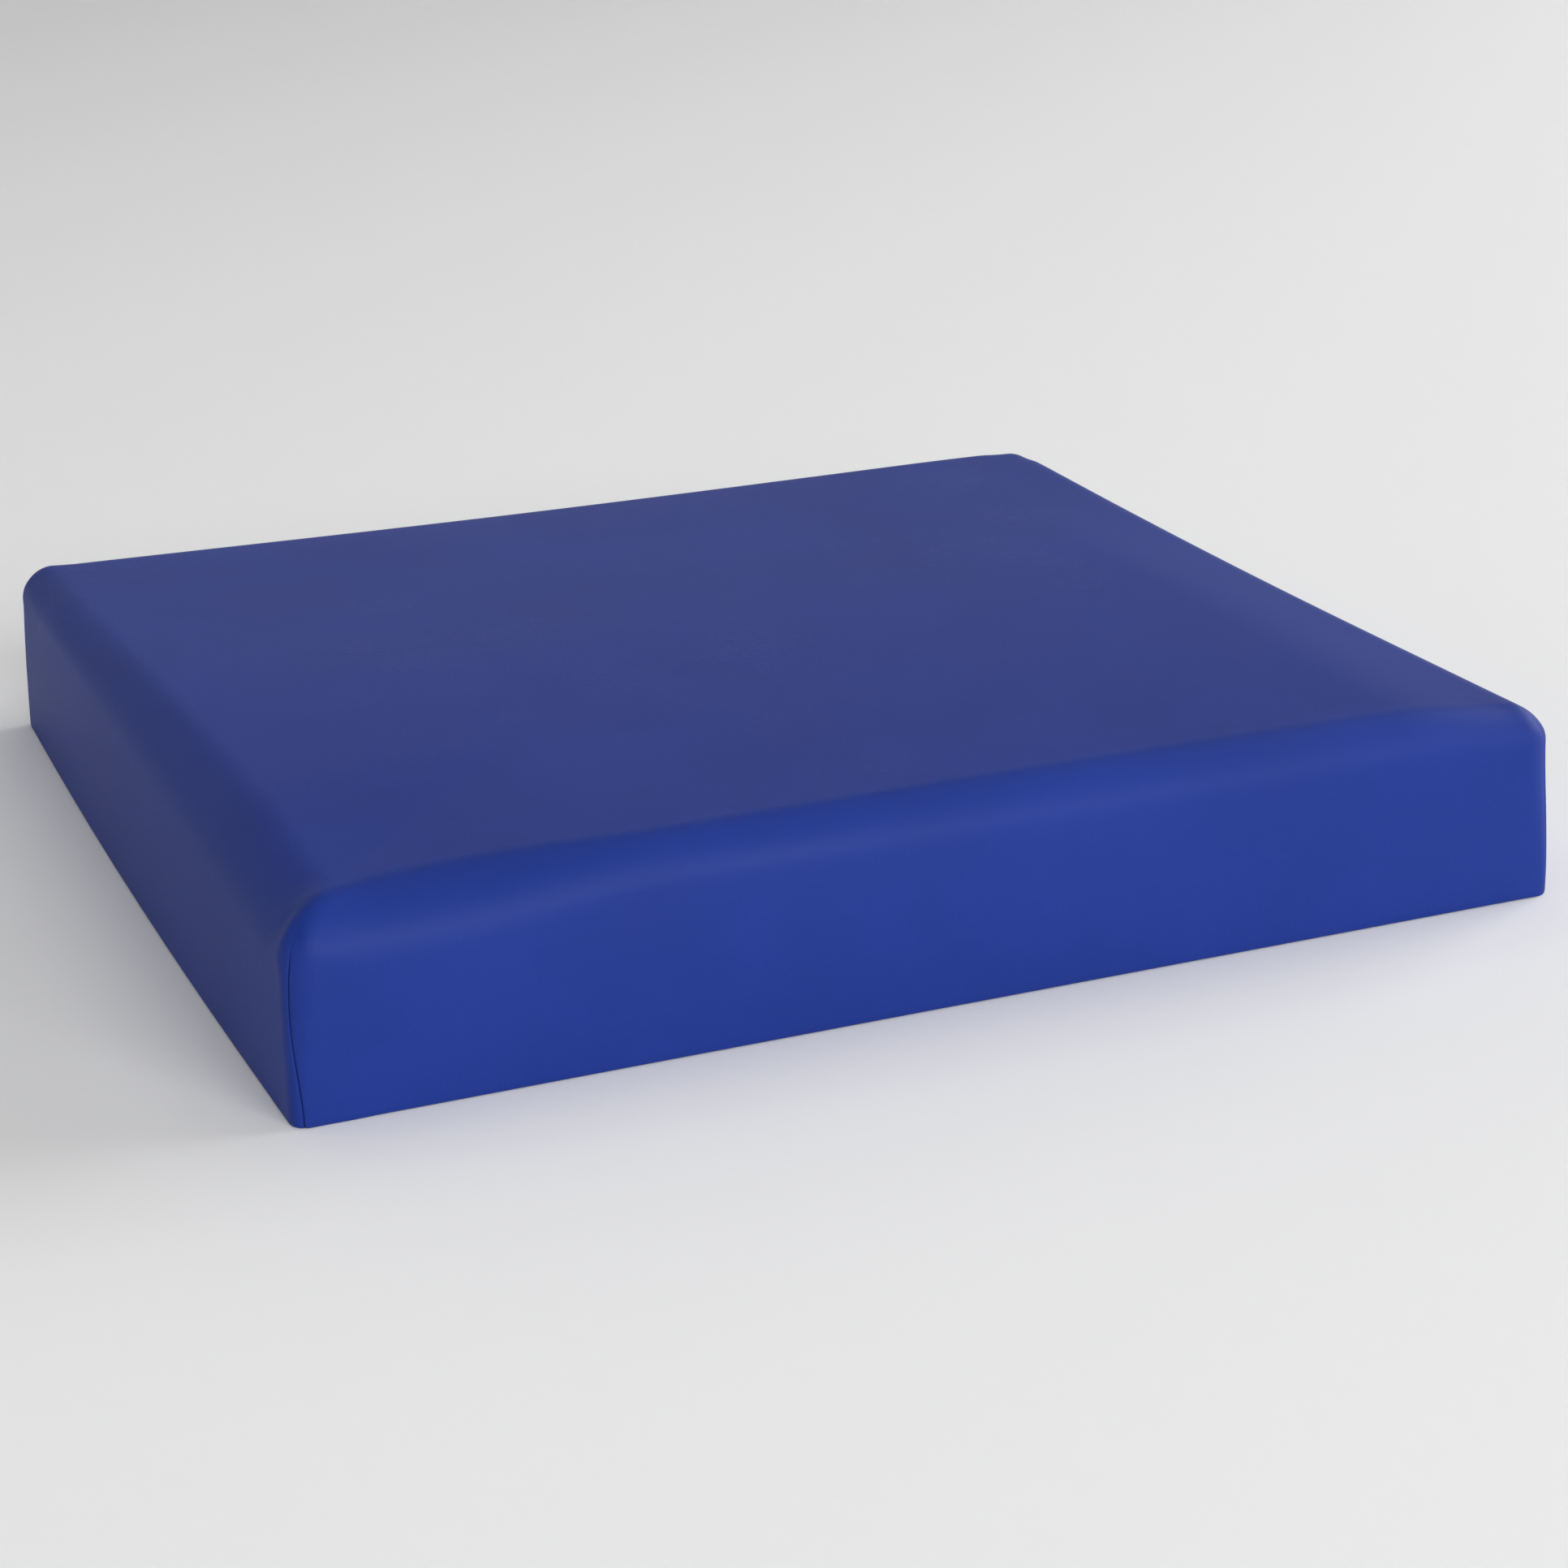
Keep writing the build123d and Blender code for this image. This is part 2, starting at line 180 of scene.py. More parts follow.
def rounded(along, out, height, half_along, half_out, inset=0.0):
    """Points of a sharp box moved onto the rounded pad, drawn in by inset, and their outward directions."""
    core = np.stack([
        np.clip(along, CORNER - half_along, half_along - CORNER),
        np.clip(out, CORNER - half_out, half_out - CORNER),
        np.minimum(height, TOP - CORNER),
    ], axis=-1)
    way = np.stack([along, out, height], axis=-1) - core
    way /= np.linalg.norm(way, axis=-1, keepdims=True)
    return core + way * (CORNER - np.asarray(inset))[..., None], way


LEFT_BULGE = 3.6 * MM          # the left wall stands out at its middle
WALL_BULGE = 1.5 * MM          # the front and right walls, half-way up
TOP_SAG = 1.9 * MM             # the top edges dip between the corners
SAG_REACH = 60.0 * MM
CROWN = 0.5 * MM               # the middle of the top rises, besides what the cloth simulation gives it
LEAN = 3.4 * MM                # the walls draw in towards the top edge
LEAN_REACH = 42.0 * MM
RISE = 4.2 * MM                # the front and left top edges rise away from their common corner
RISE_START, RISE_RAMP = -20.0 * MM, 130.0 * MM
FRONT_RISE_END, FRONT_RISE_FADE = 390.0 * MM, 60.0 * MM
LEFT_RISE_END, LEFT_RISE_FADE = 150.0 * MM, 220.0 * MM
WIDEN = 7.0 * MM               # and their radius is larger close to it
WIDEN_RAMP, WIDEN_END = 30.0 * MM, 50.0 * MM
FRONT_WIDEN_FADE, LEFT_WIDEN_FADE = 70.0 * MM, 310.0 * MM
EDGE_DEPTH, EDGE_DEPTH_FADE = 14.0 * MM, 30.0 * MM    # how deep below an edge its points move with it
EDGE_SIDE_FADE = 60.0 * MM     # and how far to either side
CORNER_LOW = 5.0 * MM          # radius of the upright corners at the floor
CORNER_SIGNS = [(-1, -1), (1, -1), (1, 1), (-1, 1)]
CORNER_TOPS = [9.0, 12.75, 20.0, 10.5]    # their radius at the top edge in mm, in the order of the signs
SEAM_DRIFTS = [(-1.9, 2.0), (0.2, -0.9), (-0.3, 1.1), (0.0, -0.8)]    # mm, at the floor and higher up
DRIFT_HEIGHT = 42.0 * MM       # where the second one is reached
DRIFT_WIDTH = 8.0 * MM
SPIN_START, SPIN_RAMP = 40.0 * MM, 15.0 * MM    # from here up the drift turns the sheet about the corner


def edge_share(coordinate, half, reach=SAG_REACH):
    """1 at an outer edge, falling to 0 at reach further in, ever more gently."""
    return np.clip((coordinate - half + reach) / reach, 0, 1) ** 2


def shaped(points):
    """The unevenness of a real pad: where its faces bulge, sag and lean. It moves every soft piece alike."""
    p = np.array(points, float)
    x, y, z = p[..., 0].copy(), p[..., 1].copy(), p[..., 2].copy()
    u, v, w = x / HALF_X, y / HALF_Y, z / TOP
    left, right = np.clip(-u, 0, 1) ** 3, np.clip(u, 0, 1) ** 3
    front, rear = np.clip(-v, 0, 1) ** 3, np.clip(v, 0, 1) ** 3
    belly = 4 * w * (1 - w)
    p[..., 0] -= LEFT_BULGE * left * arch((v + 0.12) / 1.12) * (1 - 0.5 * w * w)
    p[..., 0] += WALL_BULGE * right * arch(v) * belly
    p[..., 1] -= WALL_BULGE * front * arch(u) * belly
    sag = TOP_SAG * edge_share(y, HALF_Y) * (0.15 + 0.85 * arch((u + 0.1) / 1.1) ** 2)
    sag += TOP_SAG * edge_share(x, HALF_X) * (0.15 + 0.85 * arch((v - 0.15) / 1.15) ** 2)
    from_left, from_front = x + HALF_X, y + HALF_Y
    rise = RISE * smooth((np.maximum(from_left, from_front) - RISE_START) / RISE_RAMP)
    rise = rise * fade_out(from_left, FRONT_RISE_END, FRONT_RISE_FADE)
    rise = rise * fade_out(from_front, LEFT_RISE_END, LEFT_RISE_FADE)
    p[..., 2] += w * w * (CROWN * arch(u) * arch(v) + rise - sag)
    widen_edge(p, 1, -y - HALF_Y, z, from_left, FRONT_WIDEN_FADE)
    widen_edge(p, 0, -x - HALF_X, z, from_front, LEFT_WIDEN_FADE)
    lean = LEAN * edge_share(z, TOP, LEAN_REACH)
    p[..., 0] += lean * (left - right) * (0.3 + 0.7 * arch(v))
    p[..., 1] += lean * (front - rear) * (0.3 + 0.7 * arch(u))
    for (sx, sy), drifts, top_radius in zip(CORNER_SIGNS, SEAM_DRIFTS, CORNER_TOPS):
        move_corner(p, x, y, z, sx, sy, drifts, top_radius * MM)
    return p


def corner_curve(along, radius):
    """(out in x, out in y) of the outline near a corner, from the sharp corner's place."""
    arc = radius * math.pi / 4
    turn = math.pi / 4 - np.clip(along, -arc, arc) / radius
    beyond = np.maximum(np.abs(along) - arc, 0)
    out_x = radius * (np.cos(turn) - 1) - np.where(along < 0, beyond, 0)
    out_y = radius * (np.sin(turn) - 1) - np.where(along > 0, beyond, 0)
    return out_x, out_y


def near_edge(out_a, out_b):
    """Where points lie by a rounded edge: along its outline, the outline there, how deep, and a weight."""
    across = (out_a - out_b) / math.sqrt(2)
    turned = np.arcsin(np.clip(across / CORNER, -math.sqrt(0.5), math.sqrt(0.5)))
    flat = np.maximum(np.abs(across) - CORNER / math.sqrt(2), 0) * math.sqrt(2)
    along = CORNER * turned + np.sign(across) * flat
    was = corner_curve(along, CORNER)
    depth = (was[0] + was[1] - out_a - out_b) / math.sqrt(2)
    weight = fade_out(depth, EDGE_DEPTH, EDGE_DEPTH_FADE)
    weight = weight * fade_out(np.abs(along), CORNER * math.pi / 4, EDGE_SIDE_FADE)
    return along, was, depth, weight


def widen_edge(p, axis, out, z, from_corner, fade):
    """Gives the top edge of the front wall (axis 1) or the left one (axis 0) its larger radius."""
    wider = WIDEN * fade_out(from_corner, WIDEN_END, fade) * (0.5 + 0.5 * smooth(from_corner / WIDEN_RAMP))
    along, was, _, weight = near_edge(out, z - TOP)
    new = corner_curve(along, CORNER + wider)
    p[..., axis] -= (new[0] - was[0]) * weight
    p[..., 2] += (new[1] - was[1]) * weight


def move_corner(p, x, y, z, sx, sy, drifts, top_radius):
    """Changes the radius of an upright corner and lets its seam wander, by sliding the sheet along itself."""
    out_x, out_y = sx * x - HALF_X, sy * y - HALF_Y
    along, was, depth, weight = near_edge(out_x, out_y)
    near = bell((out_x - out_y) / math.sqrt(2), DRIFT_WIDTH)
    low, high = drifts
    drift = MM * (low + (high - low) * smooth(z / DRIFT_HEIGHT)) * near
    radius = CORNER_LOW + (top_radius - CORNER_LOW) * smooth(z / (TOP - CORNER))
    tight = corner_curve(along, radius)
    slid = corner_curve(along + drift, radius)
    spin = drift / CORNER * (depth < 2 * CORNER)
    arm_x, arm_y = out_x + CORNER, out_y + CORNER
    cos, sin = np.cos(spin), np.sin(spin)
    spun = (arm_x * cos + arm_y * sin - arm_x, arm_y * cos - arm_x * sin - arm_y)
    upper = smooth((z - SPIN_START) / SPIN_RAMP)
    for axis, sign in ((0, sx), (1, sy)):
        move = tight[axis] - was[axis] + (1 - upper) * (slid[axis] - tight[axis]) + upper * spun[axis]
        p[..., axis] += sign * move * weight


DIMPLE, DIMPLE_WIDTH = 0.4 * MM, 2.0 * MM      # the seam's tip pulls the sheet in
RIDGE, RIDGE_WIDTH = 0.3 * MM, 3.2 * MM        # and a low ridge runs up from it
RIDGE_HEIGHT, RIDGE_LENGTH = 7.0 * MM, 5.0 * MM
CREASE, CREASE_WIDTH = 0.34 * MM, 3.4 * MM     # with a faint crease to either side
CREASE_START = 4.0 * MM
PUCKER_REACH = 17.0 * MM


def puckers(points):
    """How far the sheet stands out or in near the four seam tips, from its even surface."""
    lift = np.zeros(points.shape[:-1])
    for number, (sx, sy) in enumerate(CORNER_SIGNS):
        tip = np.array([sx * (HALF_X - CORNER), sy * (HALF_Y - CORNER), TOP - CORNER])
        tip = tip + CORNER / math.sqrt(3) * np.array([sx, sy, 1.0])
        away = points - tip
        distance = np.linalg.norm(away, axis=-1)
        across = (away[..., 0] * sx - away[..., 1] * sy) / math.sqrt(2)
        below = -away[..., 2]
        local = bell(distance, PUCKER_REACH)
        lift -= DIMPLE * bell(distance, DIMPLE_WIDTH)
        lift += RIDGE * bell(across, RIDGE_WIDTH) * bell(below + RIDGE_HEIGHT, RIDGE_LENGTH) * local
        for side in (-1, 1):
            slope = 0.75 + 0.12 * side + 0.05 * number
            crease = bell(below - slope * side * across, CREASE_WIDTH) * smooth(side * across / CREASE_START)
            lift += CREASE * crease * local
    return lift


def on_pad(points, ways):
    """Points of the cover as the real pad has them."""
    return shaped(points + ways * puckers(points)[..., None])


# ---- cover sheet ----
SIDES = {"front": (0, -1), "right": (1, 0), "rear": (0, 1), "left": (-1, 0)}


def side_frame(side):
    """The directions along and out of a wall, and its half sizes."""
    out = np.array([*SIDES[side], 0.0])
    along = np.array([-out[1], out[0], 0.0])
    halves = np.array([HALF_X, HALF_Y, 0.0])
    return along, out, abs(along) @ halves, abs(out) @ halves


def to_pad(local, along, out):
    """Points or directions of a wall's own frame (along, out, up) in the frame of the pad."""
    return local[..., :1] * along + local[..., 1:2] * out + local[..., 2:] * np.array([0, 0, 1.0])


def window_half(along):
    """Half the height of the zip's window: open along the zip, closed past its ends."""
    return WINDOW * fade_out(np.abs(along), WINDOW_END, WINDOW_TAPER)


def fold_rows(edge, direction):
    """(inset, height) of the rows round a folded edge. The sheet is above it (direction 1) or below (-1)."""
    turns = [math.pi * k / 6 for k in range(1, 7)]
    rows = [(FOLD * (1 - math.cos(t)), edge + direction * FOLD * (1 - math.sin(t))) for t in turns]
    rows += [(2 * FOLD, edge + direction * (FOLD + HEM * k / 3)) for k in (1, 2, 3)]
    return rows


def wall_rows(side, columns):
    """(inset, height) arrays of a wall's rows from its top edge down, and how many come before the hem."""
    flat = TOP - CORNER
    arc = flat + arc_offsets(EDGE_LINES)
    rows = [(0.0, np.full(columns.shape, height)) for height in arc]
    if side == "rear":
        edge = ZIP_Z + np.maximum(window_half(columns), SEAM_GAP)
        spacing = np.linspace(0, 1, 13) ** 0.8
    else:
        edge = np.zeros(columns.shape)
        spacing = np.linspace(0, 1, 27)
    rows += [(0.0, flat + (edge + FOLD - flat) * t) for t in spacing]
    kept = len(rows)
    rows += [(inset, height) for inset, height in fold_rows(edge, 1)]
    return rows, kept


def strip_rows(columns):
    """The same for the strip below the zip, from its upper hem to its lower one."""
    edge = ZIP_Z - np.maximum(window_half(columns), SEAM_GAP)
    rows = fold_rows(edge, -1)[::-1]
    first = len(rows)
    low = FOLD
    rows += [(0.0, edge - FOLD + (low - edge + FOLD) * t) for t in np.linspace(0, 1, 13)]
    kept = len(rows)
    rows += fold_rows(np.zeros(columns.shape), 1)
    return rows, first, kept


def zip_swell(along, height):
    """How far the doubled sheet beside the zip's window stands out."""
    beyond = np.abs(height - ZIP_Z) - WINDOW
    return ZIP_SWELL * fade_out(beyond, HEM, ZIP_SWELL_FADE) * fade_out(np.abs(along), WINDOW_END, HEM)


def panel(side, rows, first, kept):
    """A wall whose ends turn in at the corner seams. Only rows first to kept turn in."""
    along, out, half_along, half_out = side_frame(side)
    columns = side_lines(half_along)
    distance = np.full(columns.shape, 1.0)
    distance[:len(SEAM_LINES)] = SEAM_LINES
    distance[-len(SEAM_LINES):] = SEAM_LINES[::-1]
    end, one, none = np.sign(columns), np.ones(columns.shape), np.zeros(columns.shape)
    diagonal = np.column_stack([end, one, none]) / math.sqrt(2)
    tangent = np.column_stack([-end, one, none]) / math.sqrt(2)
    depth = np.where(distance < FOLD, FOLD - np.sqrt(np.maximum(FOLD**2 - (FOLD - distance) ** 2, 0)), 0.0)
    local, ways, inwards, growths = [], [], [], []
    for inset, height in rows:
        height = np.broadcast_to(height, columns.shape)
        flat_out, flat_inset = np.full(columns.shape, half_out), np.full(columns.shape, inset)
        point, way = rounded(columns, flat_out, height, half_along, half_out, flat_inset)
        if side == "rear":
            point = point + way * zip_swell(columns, height)[:, None]
        grown = smooth((SEAM_TIP - point[:, 2]) / TAPER)
        steep = np.clip((point[:, 2:] - (TOP - CORNER)) / CORNER, 0, 1)
        inward = -(diagonal * np.sqrt(1 - steep**2) + np.array([0, 0, 1.0]) * steep)
        gap = np.where(grown > 0, SLIT_AT_TIP + (SEAM_GAP - SLIT_AT_TIP) * grown**2, 0.0)
        moved = tangent * gap[:, None] + inward * (depth * grown)[:, None]
        local.append(point + moved * (distance < FOLD)[:, None])
        ways.append(way)
        inwards.append(inward)
        growths.append(grown)
    local, ways = np.array(local), np.array(ways)
    base = on_pad(to_pad(local, along, out), to_pad(ways, along, out))
    vertices = [base.reshape(-1, 3)]
    faces = [grid_faces(len(rows), len(columns))]
    count = base.shape[0] * base.shape[1]
    turning = slice(first, kept)
    for column in (0, -1):
        inward, grown = np.array(inwards)[turning, column], np.array(growths)[turning, column]
        plies = seam_plies(local[turning, column], inward, grown)
        ply_ways = np.repeat(-inward[:, None], PLY_STEPS + 1, axis=1)
        if column == 0:
            plies = plies[:, ::-1]
        placed = on_pad(to_pad(plies, along, out), to_pad(ply_ways, along, out))
        placed[:, -1 - column] = base[turning, column]
        vertices.append(placed.reshape(-1, 3))
        faces.append(grid_faces(kept - first, PLY_STEPS + 1, count))
        count += placed.shape[0] * placed.shape[1]
    return np.concatenate(vertices), np.concatenate(faces)


def seam_plies(starts, inward, grown):
    """The part of a wall's end that turns in at a corner seam, from the fold inwards."""
    reach = ALLOWANCE * np.where(grown > 0, np.maximum(grown, PLY_AT_TIP), 0)
    reach = reach * (0.15 + 0.85 * smooth((starts[:, 2] - PLY_LOW) / PLY_RAMP))
    steps = np.arange(PLY_STEPS + 1) / PLY_STEPS
    return starts[:, None] + inward[:, None] * (reach[:, None] * steps)[..., None]


def make_cover(materials):
    """The cross-shaped sheet: the top and four flaps, joined at the corner seams."""
    lines_x, lines_y = side_lines(HALF_X), side_lines(HALF_Y)
    x, y = np.meshgrid(lines_x, lines_y[::-1], indexing="xy")
    point, way = rounded(x, y, np.full(x.shape, TOP), HALF_X, HALF_Y, np.zeros(x.shape))
    vertices = [on_pad(point, way).reshape(-1, 3)]
    faces = [grid_faces(len(lines_y), len(lines_x))]
    count = x.size
    for side in SIDES:
        rows, kept = wall_rows(side, side_lines(side_frame(side)[2]))
        more, quads = panel(side, rows, 0, kept)
        vertices.append(more)
        faces.append(quads + count)
        count += len(more)
    cover = make_mesh("cover_sheet", np.concatenate(vertices), np.concatenate(faces), materials, MERGE)
    swell(cover)
    thicken(cover, SHEET, 1)
    put_on_pad(cover, "top_cover")


def make_strip(materials):
    """The narrow piece of wall below the zip."""
    half_along = side_frame("rear")[2]
    rows, first, kept = strip_rows(side_lines(half_along))
    vertices, faces = panel("rear", rows, first, kept)
    strip = make_mesh("wall_below_zip", vertices, faces, materials, MERGE)
    thicken(strip, SHEET, 1)
    put_on_pad(strip, "rear_strip")


# ---- rings: closed slabs and the base panel ----
ARC_TURNS = math.pi / 4 * np.array([0.22, 0.44, 0.64, 0.78, 0.86, 0.93, 1.0])    # closer by the seam


def outline_lines(half, spacing):
    """Lines across one side: the two corner arcs in a few steps, and the flat part."""
    arc = half - CORNER + CORNER * np.tan(ARC_TURNS)
    return np.concatenate([-arc[::-1], graded(half - CORNER, spacing), arc])


def ring(inset, height, spacing):
    """One loop round the pad, counter-clockwise from above, at a distance in from its walls."""
    points = []
    for side in SIDES:
        along, out, half_along, half_out = side_frame(side)
        columns = outline_lines(half_along, spacing)[:-1]
        flat = np.zeros(columns.shape)
        point, _ = rounded(columns, flat + half_out, flat, half_along, half_out, flat + inset)
        point[:, 2] = height
        points.append(to_pad(point, along, out))
    return np.concatenate(points)


def core_grid(height, spacing):
    """The flat rectangle inside the corner arcs."""
    lines_x, lines_y = graded(HALF_X - CORNER, spacing), graded(HALF_Y - CORNER, spacing)
    x, y = np.meshgrid(lines_x, lines_y, indexing="xy")
    return np.stack([x, y, np.full(x.shape, height)], axis=-1)


def ring_faces(count, size, start=0):
    """Quads between neighbouring rings, which face out when the rings go up the walls."""
    j = np.arange(size)
    k = (j + 1) % size
    faces = []
    for i in range(count - 1):
        low, high = start + i * size, start + (i + 1) * size
        faces.append(np.column_stack([low + j, low + k, high + k, high + j]))
    return np.concatenate(faces)


def rings_mesh(name, profile, materials, spacing, bottom, top, change=None):
    """A slab from its profile, (inset, height) from the bottom up, closed by flat faces where wanted."""
    loops = [ring(inset, height, spacing) for inset, height in profile]
    size = len(loops[0])
    vertices = [np.concatenate(loops)]
    faces = [ring_faces(len(loops), size)]
    count = len(loops) * size
    for wanted, height, turned in ((bottom, profile[0][1], False), (top, profile[-1][1], True)):
        if wanted:
            grid = core_grid(height, spacing)
            quads = grid_faces(grid.shape[0], grid.shape[1], count)
            faces.append(quads[:, ::-1] if turned else quads)
            vertices.append(grid.reshape(-1, 3))
            count += grid.shape[0] * grid.shape[1]
    points = np.concatenate(vertices)
    if change is not None:
        points = change(points)
    return make_mesh(name, shaped(points), np.concatenate(faces), materials, MERGE)


def arc_profile(inset, height, radius, start, end, steps, upper):
    """(inset, height) along a quarter circle at the top (upper) or bottom edge of a slab."""
    turns = np.linspace(start, end, steps)
    sign = 1 if upper else -1
    return [(inset + radius * (1 - math.cos(t)), height - sign * radius * (1 - math.sin(t))) for t in turns]


# ---- cloth simulation ----
VOXEL = 6.0 * MM
PRESSURE = 4.0
SWELL_STEPS = 20
SWELL_CAP = 0.9 * MM           # no point moves further than this
HELD_BELOW = TOP - CORNER
SMOOTHING = 90                 # passes that take the small wrinkles out of the movement
swelling = []                  # (KD tree of the simulated points, how far each one moved)


def simulate_swelling():
    """Blows up a closed copy of the cover, held by its walls, and keeps its movement, capped and smoothed."""
    profile = [(CORNER, 0.0), (2 * MM, 0.0), (0.0, 2 * MM), (0.0, (TOP - CORNER) / 2), (0.0, TOP - CORNER)]
    profile += arc_profile(0.0, TOP, CORNER, 0, math.pi / 2, 8, True)[1:]
    copy = rings_mesh("swelling", profile, [], 9 * MM, True, True)
    remesh = copy.modifiers.new("voxels", "REMESH")
    remesh.mode = "VOXEL"
    remesh.voxel_size = VOXEL
    apply_modifiers(copy)
    before = np.array([v.co[:] for v in copy.data.vertices])
    held = copy.vertex_groups.new(name="held")
    held.add([int(i) for i in np.flatnonzero(before[:, 2] < HELD_BELOW)], 1.0, "REPLACE")
    cloth = copy.modifiers.new("cloth", "CLOTH")
    cloth.settings.vertex_group_mass = "held"
    cloth.settings.use_pressure = True
    cloth.settings.uniform_pressure_force = PRESSURE
    cloth.settings.effector_weights.gravity = 0
    cloth.point_cache.frame_start, cloth.point_cache.frame_end = 1, SWELL_STEPS
    for number in range(1, SWELL_STEPS + 1):
        bpy.context.scene.frame_set(number)
    after_mesh = copy.evaluated_get(bpy.context.evaluated_depsgraph_get()).to_mesh()
    after = np.array([v.co[:] for v in after_mesh.vertices])
    moved = after - before
    moved *= SWELL_CAP / (SWELL_CAP + np.linalg.norm(moved, axis=1, keepdims=True))
    edges = np.array([edge.vertices[:] for edge in copy.data.edges])
    counts = np.bincount(edges.ravel(), minlength=len(before))[:, None]
    for _ in range(SMOOTHING):
        total = np.zeros(moved.shape)
        np.add.at(total, edges[:, 0], moved[edges[:, 1]])
        np.add.at(total, edges[:, 1], moved[edges[:, 0]])
        moved = total / counts
    tree = KDTree(len(before))
    for number, place in enumerate(before):
        tree.insert(place, number)
    tree.balance()
    swelling.extend([tree, moved])
    bpy.data.objects.remove(copy)
    bpy.context.scene.frame_set(1)


def swell(piece):
    """Moves a piece's points as the simulated cloth next to them moved."""
    if not swelling:
        return
    tree, moved = swelling
    for vertex in piece.data.vertices:
        if vertex.co.z > HELD_BELOW:
            near = tree.find_n(vertex.co, 12)
            weights = np.array([1 / (distance + VOXEL / 2) ** 2 for _, _, distance in near])
            move = weights @ moved[[number for _, number, _ in near]] / weights.sum()
            vertex.co += Vector(move * smooth((vertex.co.z - HELD_BELOW) / CORNER))


# ---- foam ----
FOAM_INSET = SHEET + 0.7 * MM
SLOT_DEPTH = 9.6 * MM           # the foam is slotted for the plies of each corner seam
SLOT_HALF = 1.45 * MM
SLOT_SIDE = 0.6 * MM            # width of a slot's sloping side
RIM = 10.5 * MM                 # the firm foam steps in above this for the base panel's rim
RIM_STEP = 2.6 * MM
ZIP_DENT = 2.4 * MM
ZIP_DENT_FADE = 3.0 * MM


def dent_foam(points):
    """The foam gives way to the seam allowances in the corners and to the zip behind the rear wall."""
    p = points.copy()
    for sx, sy in CORNER_SIGNS:
        dx = sx * p[:, 0] - (HALF_X - CORNER)
        dy = sy * p[:, 1] - (HALF_Y - CORNER)
        across = (dx - dy) / math.sqrt(2)
        outward = (dx + dy) / math.sqrt(2)
        push = SLOT_DEPTH * fade_out(np.abs(across), SLOT_HALF, SLOT_SIDE) * smooth(outward / CORNER)
        push *= smooth((SEAM_TIP - p[:, 2]) / TAPER)
        p[:, 0] -= sx * push / math.sqrt(2)
        p[:, 1] -= sy * push / math.sqrt(2)
    band = fade_out(np.abs(p[:, 2] - ZIP_Z), TAPE_TOP - ZIP_Z, ZIP_DENT_FADE)
    p[:, 1] -= ZIP_DENT * band * smooth((p[:, 1] - HALF_Y + 10 * MM) / (8 * MM))
    return p


def make_foams(soft_material, firm_material):
    """The soft layer, rounded at the top, and the firm one, which steps in for the base panel's rim."""
    spacing = 9 * MM
    top = TOP - FOAM_INSET
    low = SOFT_SPLIT + 0.1 * MM
    radius = CORNER - FOAM_INSET
    profile = [(CORNER, low), (6 * MM, low), (FOAM_INSET + 0.4 * MM, low)]
    profile += [(FOAM_INSET, z) for z in (low + 0.4 * MM, (low + top - radius) / 2, top - radius)]
    profile += arc_profile(FOAM_INSET, top, radius, 0, math.pi / 2, 9, True)[1:]
    soft = rings_mesh("foam_soft", profile, [soft_material], spacing, True, True, dent_foam)
    swell(soft)
    put_on_pad(soft, "foam_soft_layer")
    high = SOFT_SPLIT
    low = 2.4 * MM
    rim = FOAM_INSET + RIM_STEP
    profile = [(CORNER, low), (8 * MM, low), (rim + 0.6 * MM, low), (rim, low + 0.6 * MM), (rim, 6 * MM)]
    profile += [(rim, RIM), (FOAM_INSET, RIM + 0.8 * MM)]
    profile += [(FOAM_INSET, z) for z in np.linspace(RIM + 3 * MM, high - 0.4 * MM, 14)]
    profile += [(FOAM_INSET + 0.4 * MM, high), (6 * MM, high), (CORNER, high)]
    firm = rings_mesh("foam_firm", profile, [firm_material], spacing, True, True, dent_foam)
    put_on_pad(firm, "foam_firm_layer")


# ---- base panel ----
BASE_INSET = 2 * FOLD + 0.1 * MM
BASE_LIFT = 0.45 * MM           # the grip dots stand out this far below the sheet
BASE_RIM = 9.5 * MM
DOT_RADIUS = 1.5 * MM
DOT_PITCH = 9.0 * MM
DOT_MARGIN = 9.0 * MM
DOT_SIDES = 10


def make_base(sheet_material, inner_material, dot_material):
    """The underside with its turned-up rim, and its grip dots."""
    radius = 1.3 * MM
    profile = [(CORNER, BASE_LIFT), (8 * MM, BASE_LIFT), (5 * MM, BASE_LIFT)]
    profile += arc_profile(BASE_INSET, BASE_LIFT, radius, math.pi / 2, 0, 6, False)
    profile += [(BASE_INSET, z) for z in np.linspace(3.5 * MM, BASE_RIM, 4)]
    base = rings_mesh("base_sheet", profile, [sheet_material, inner_material], 6 * MM, True, False)
    thicken(base, SHEET, 1)
    put_on_pad(base, "base_panel")
    put_on_pad(make_dots(dot_material))


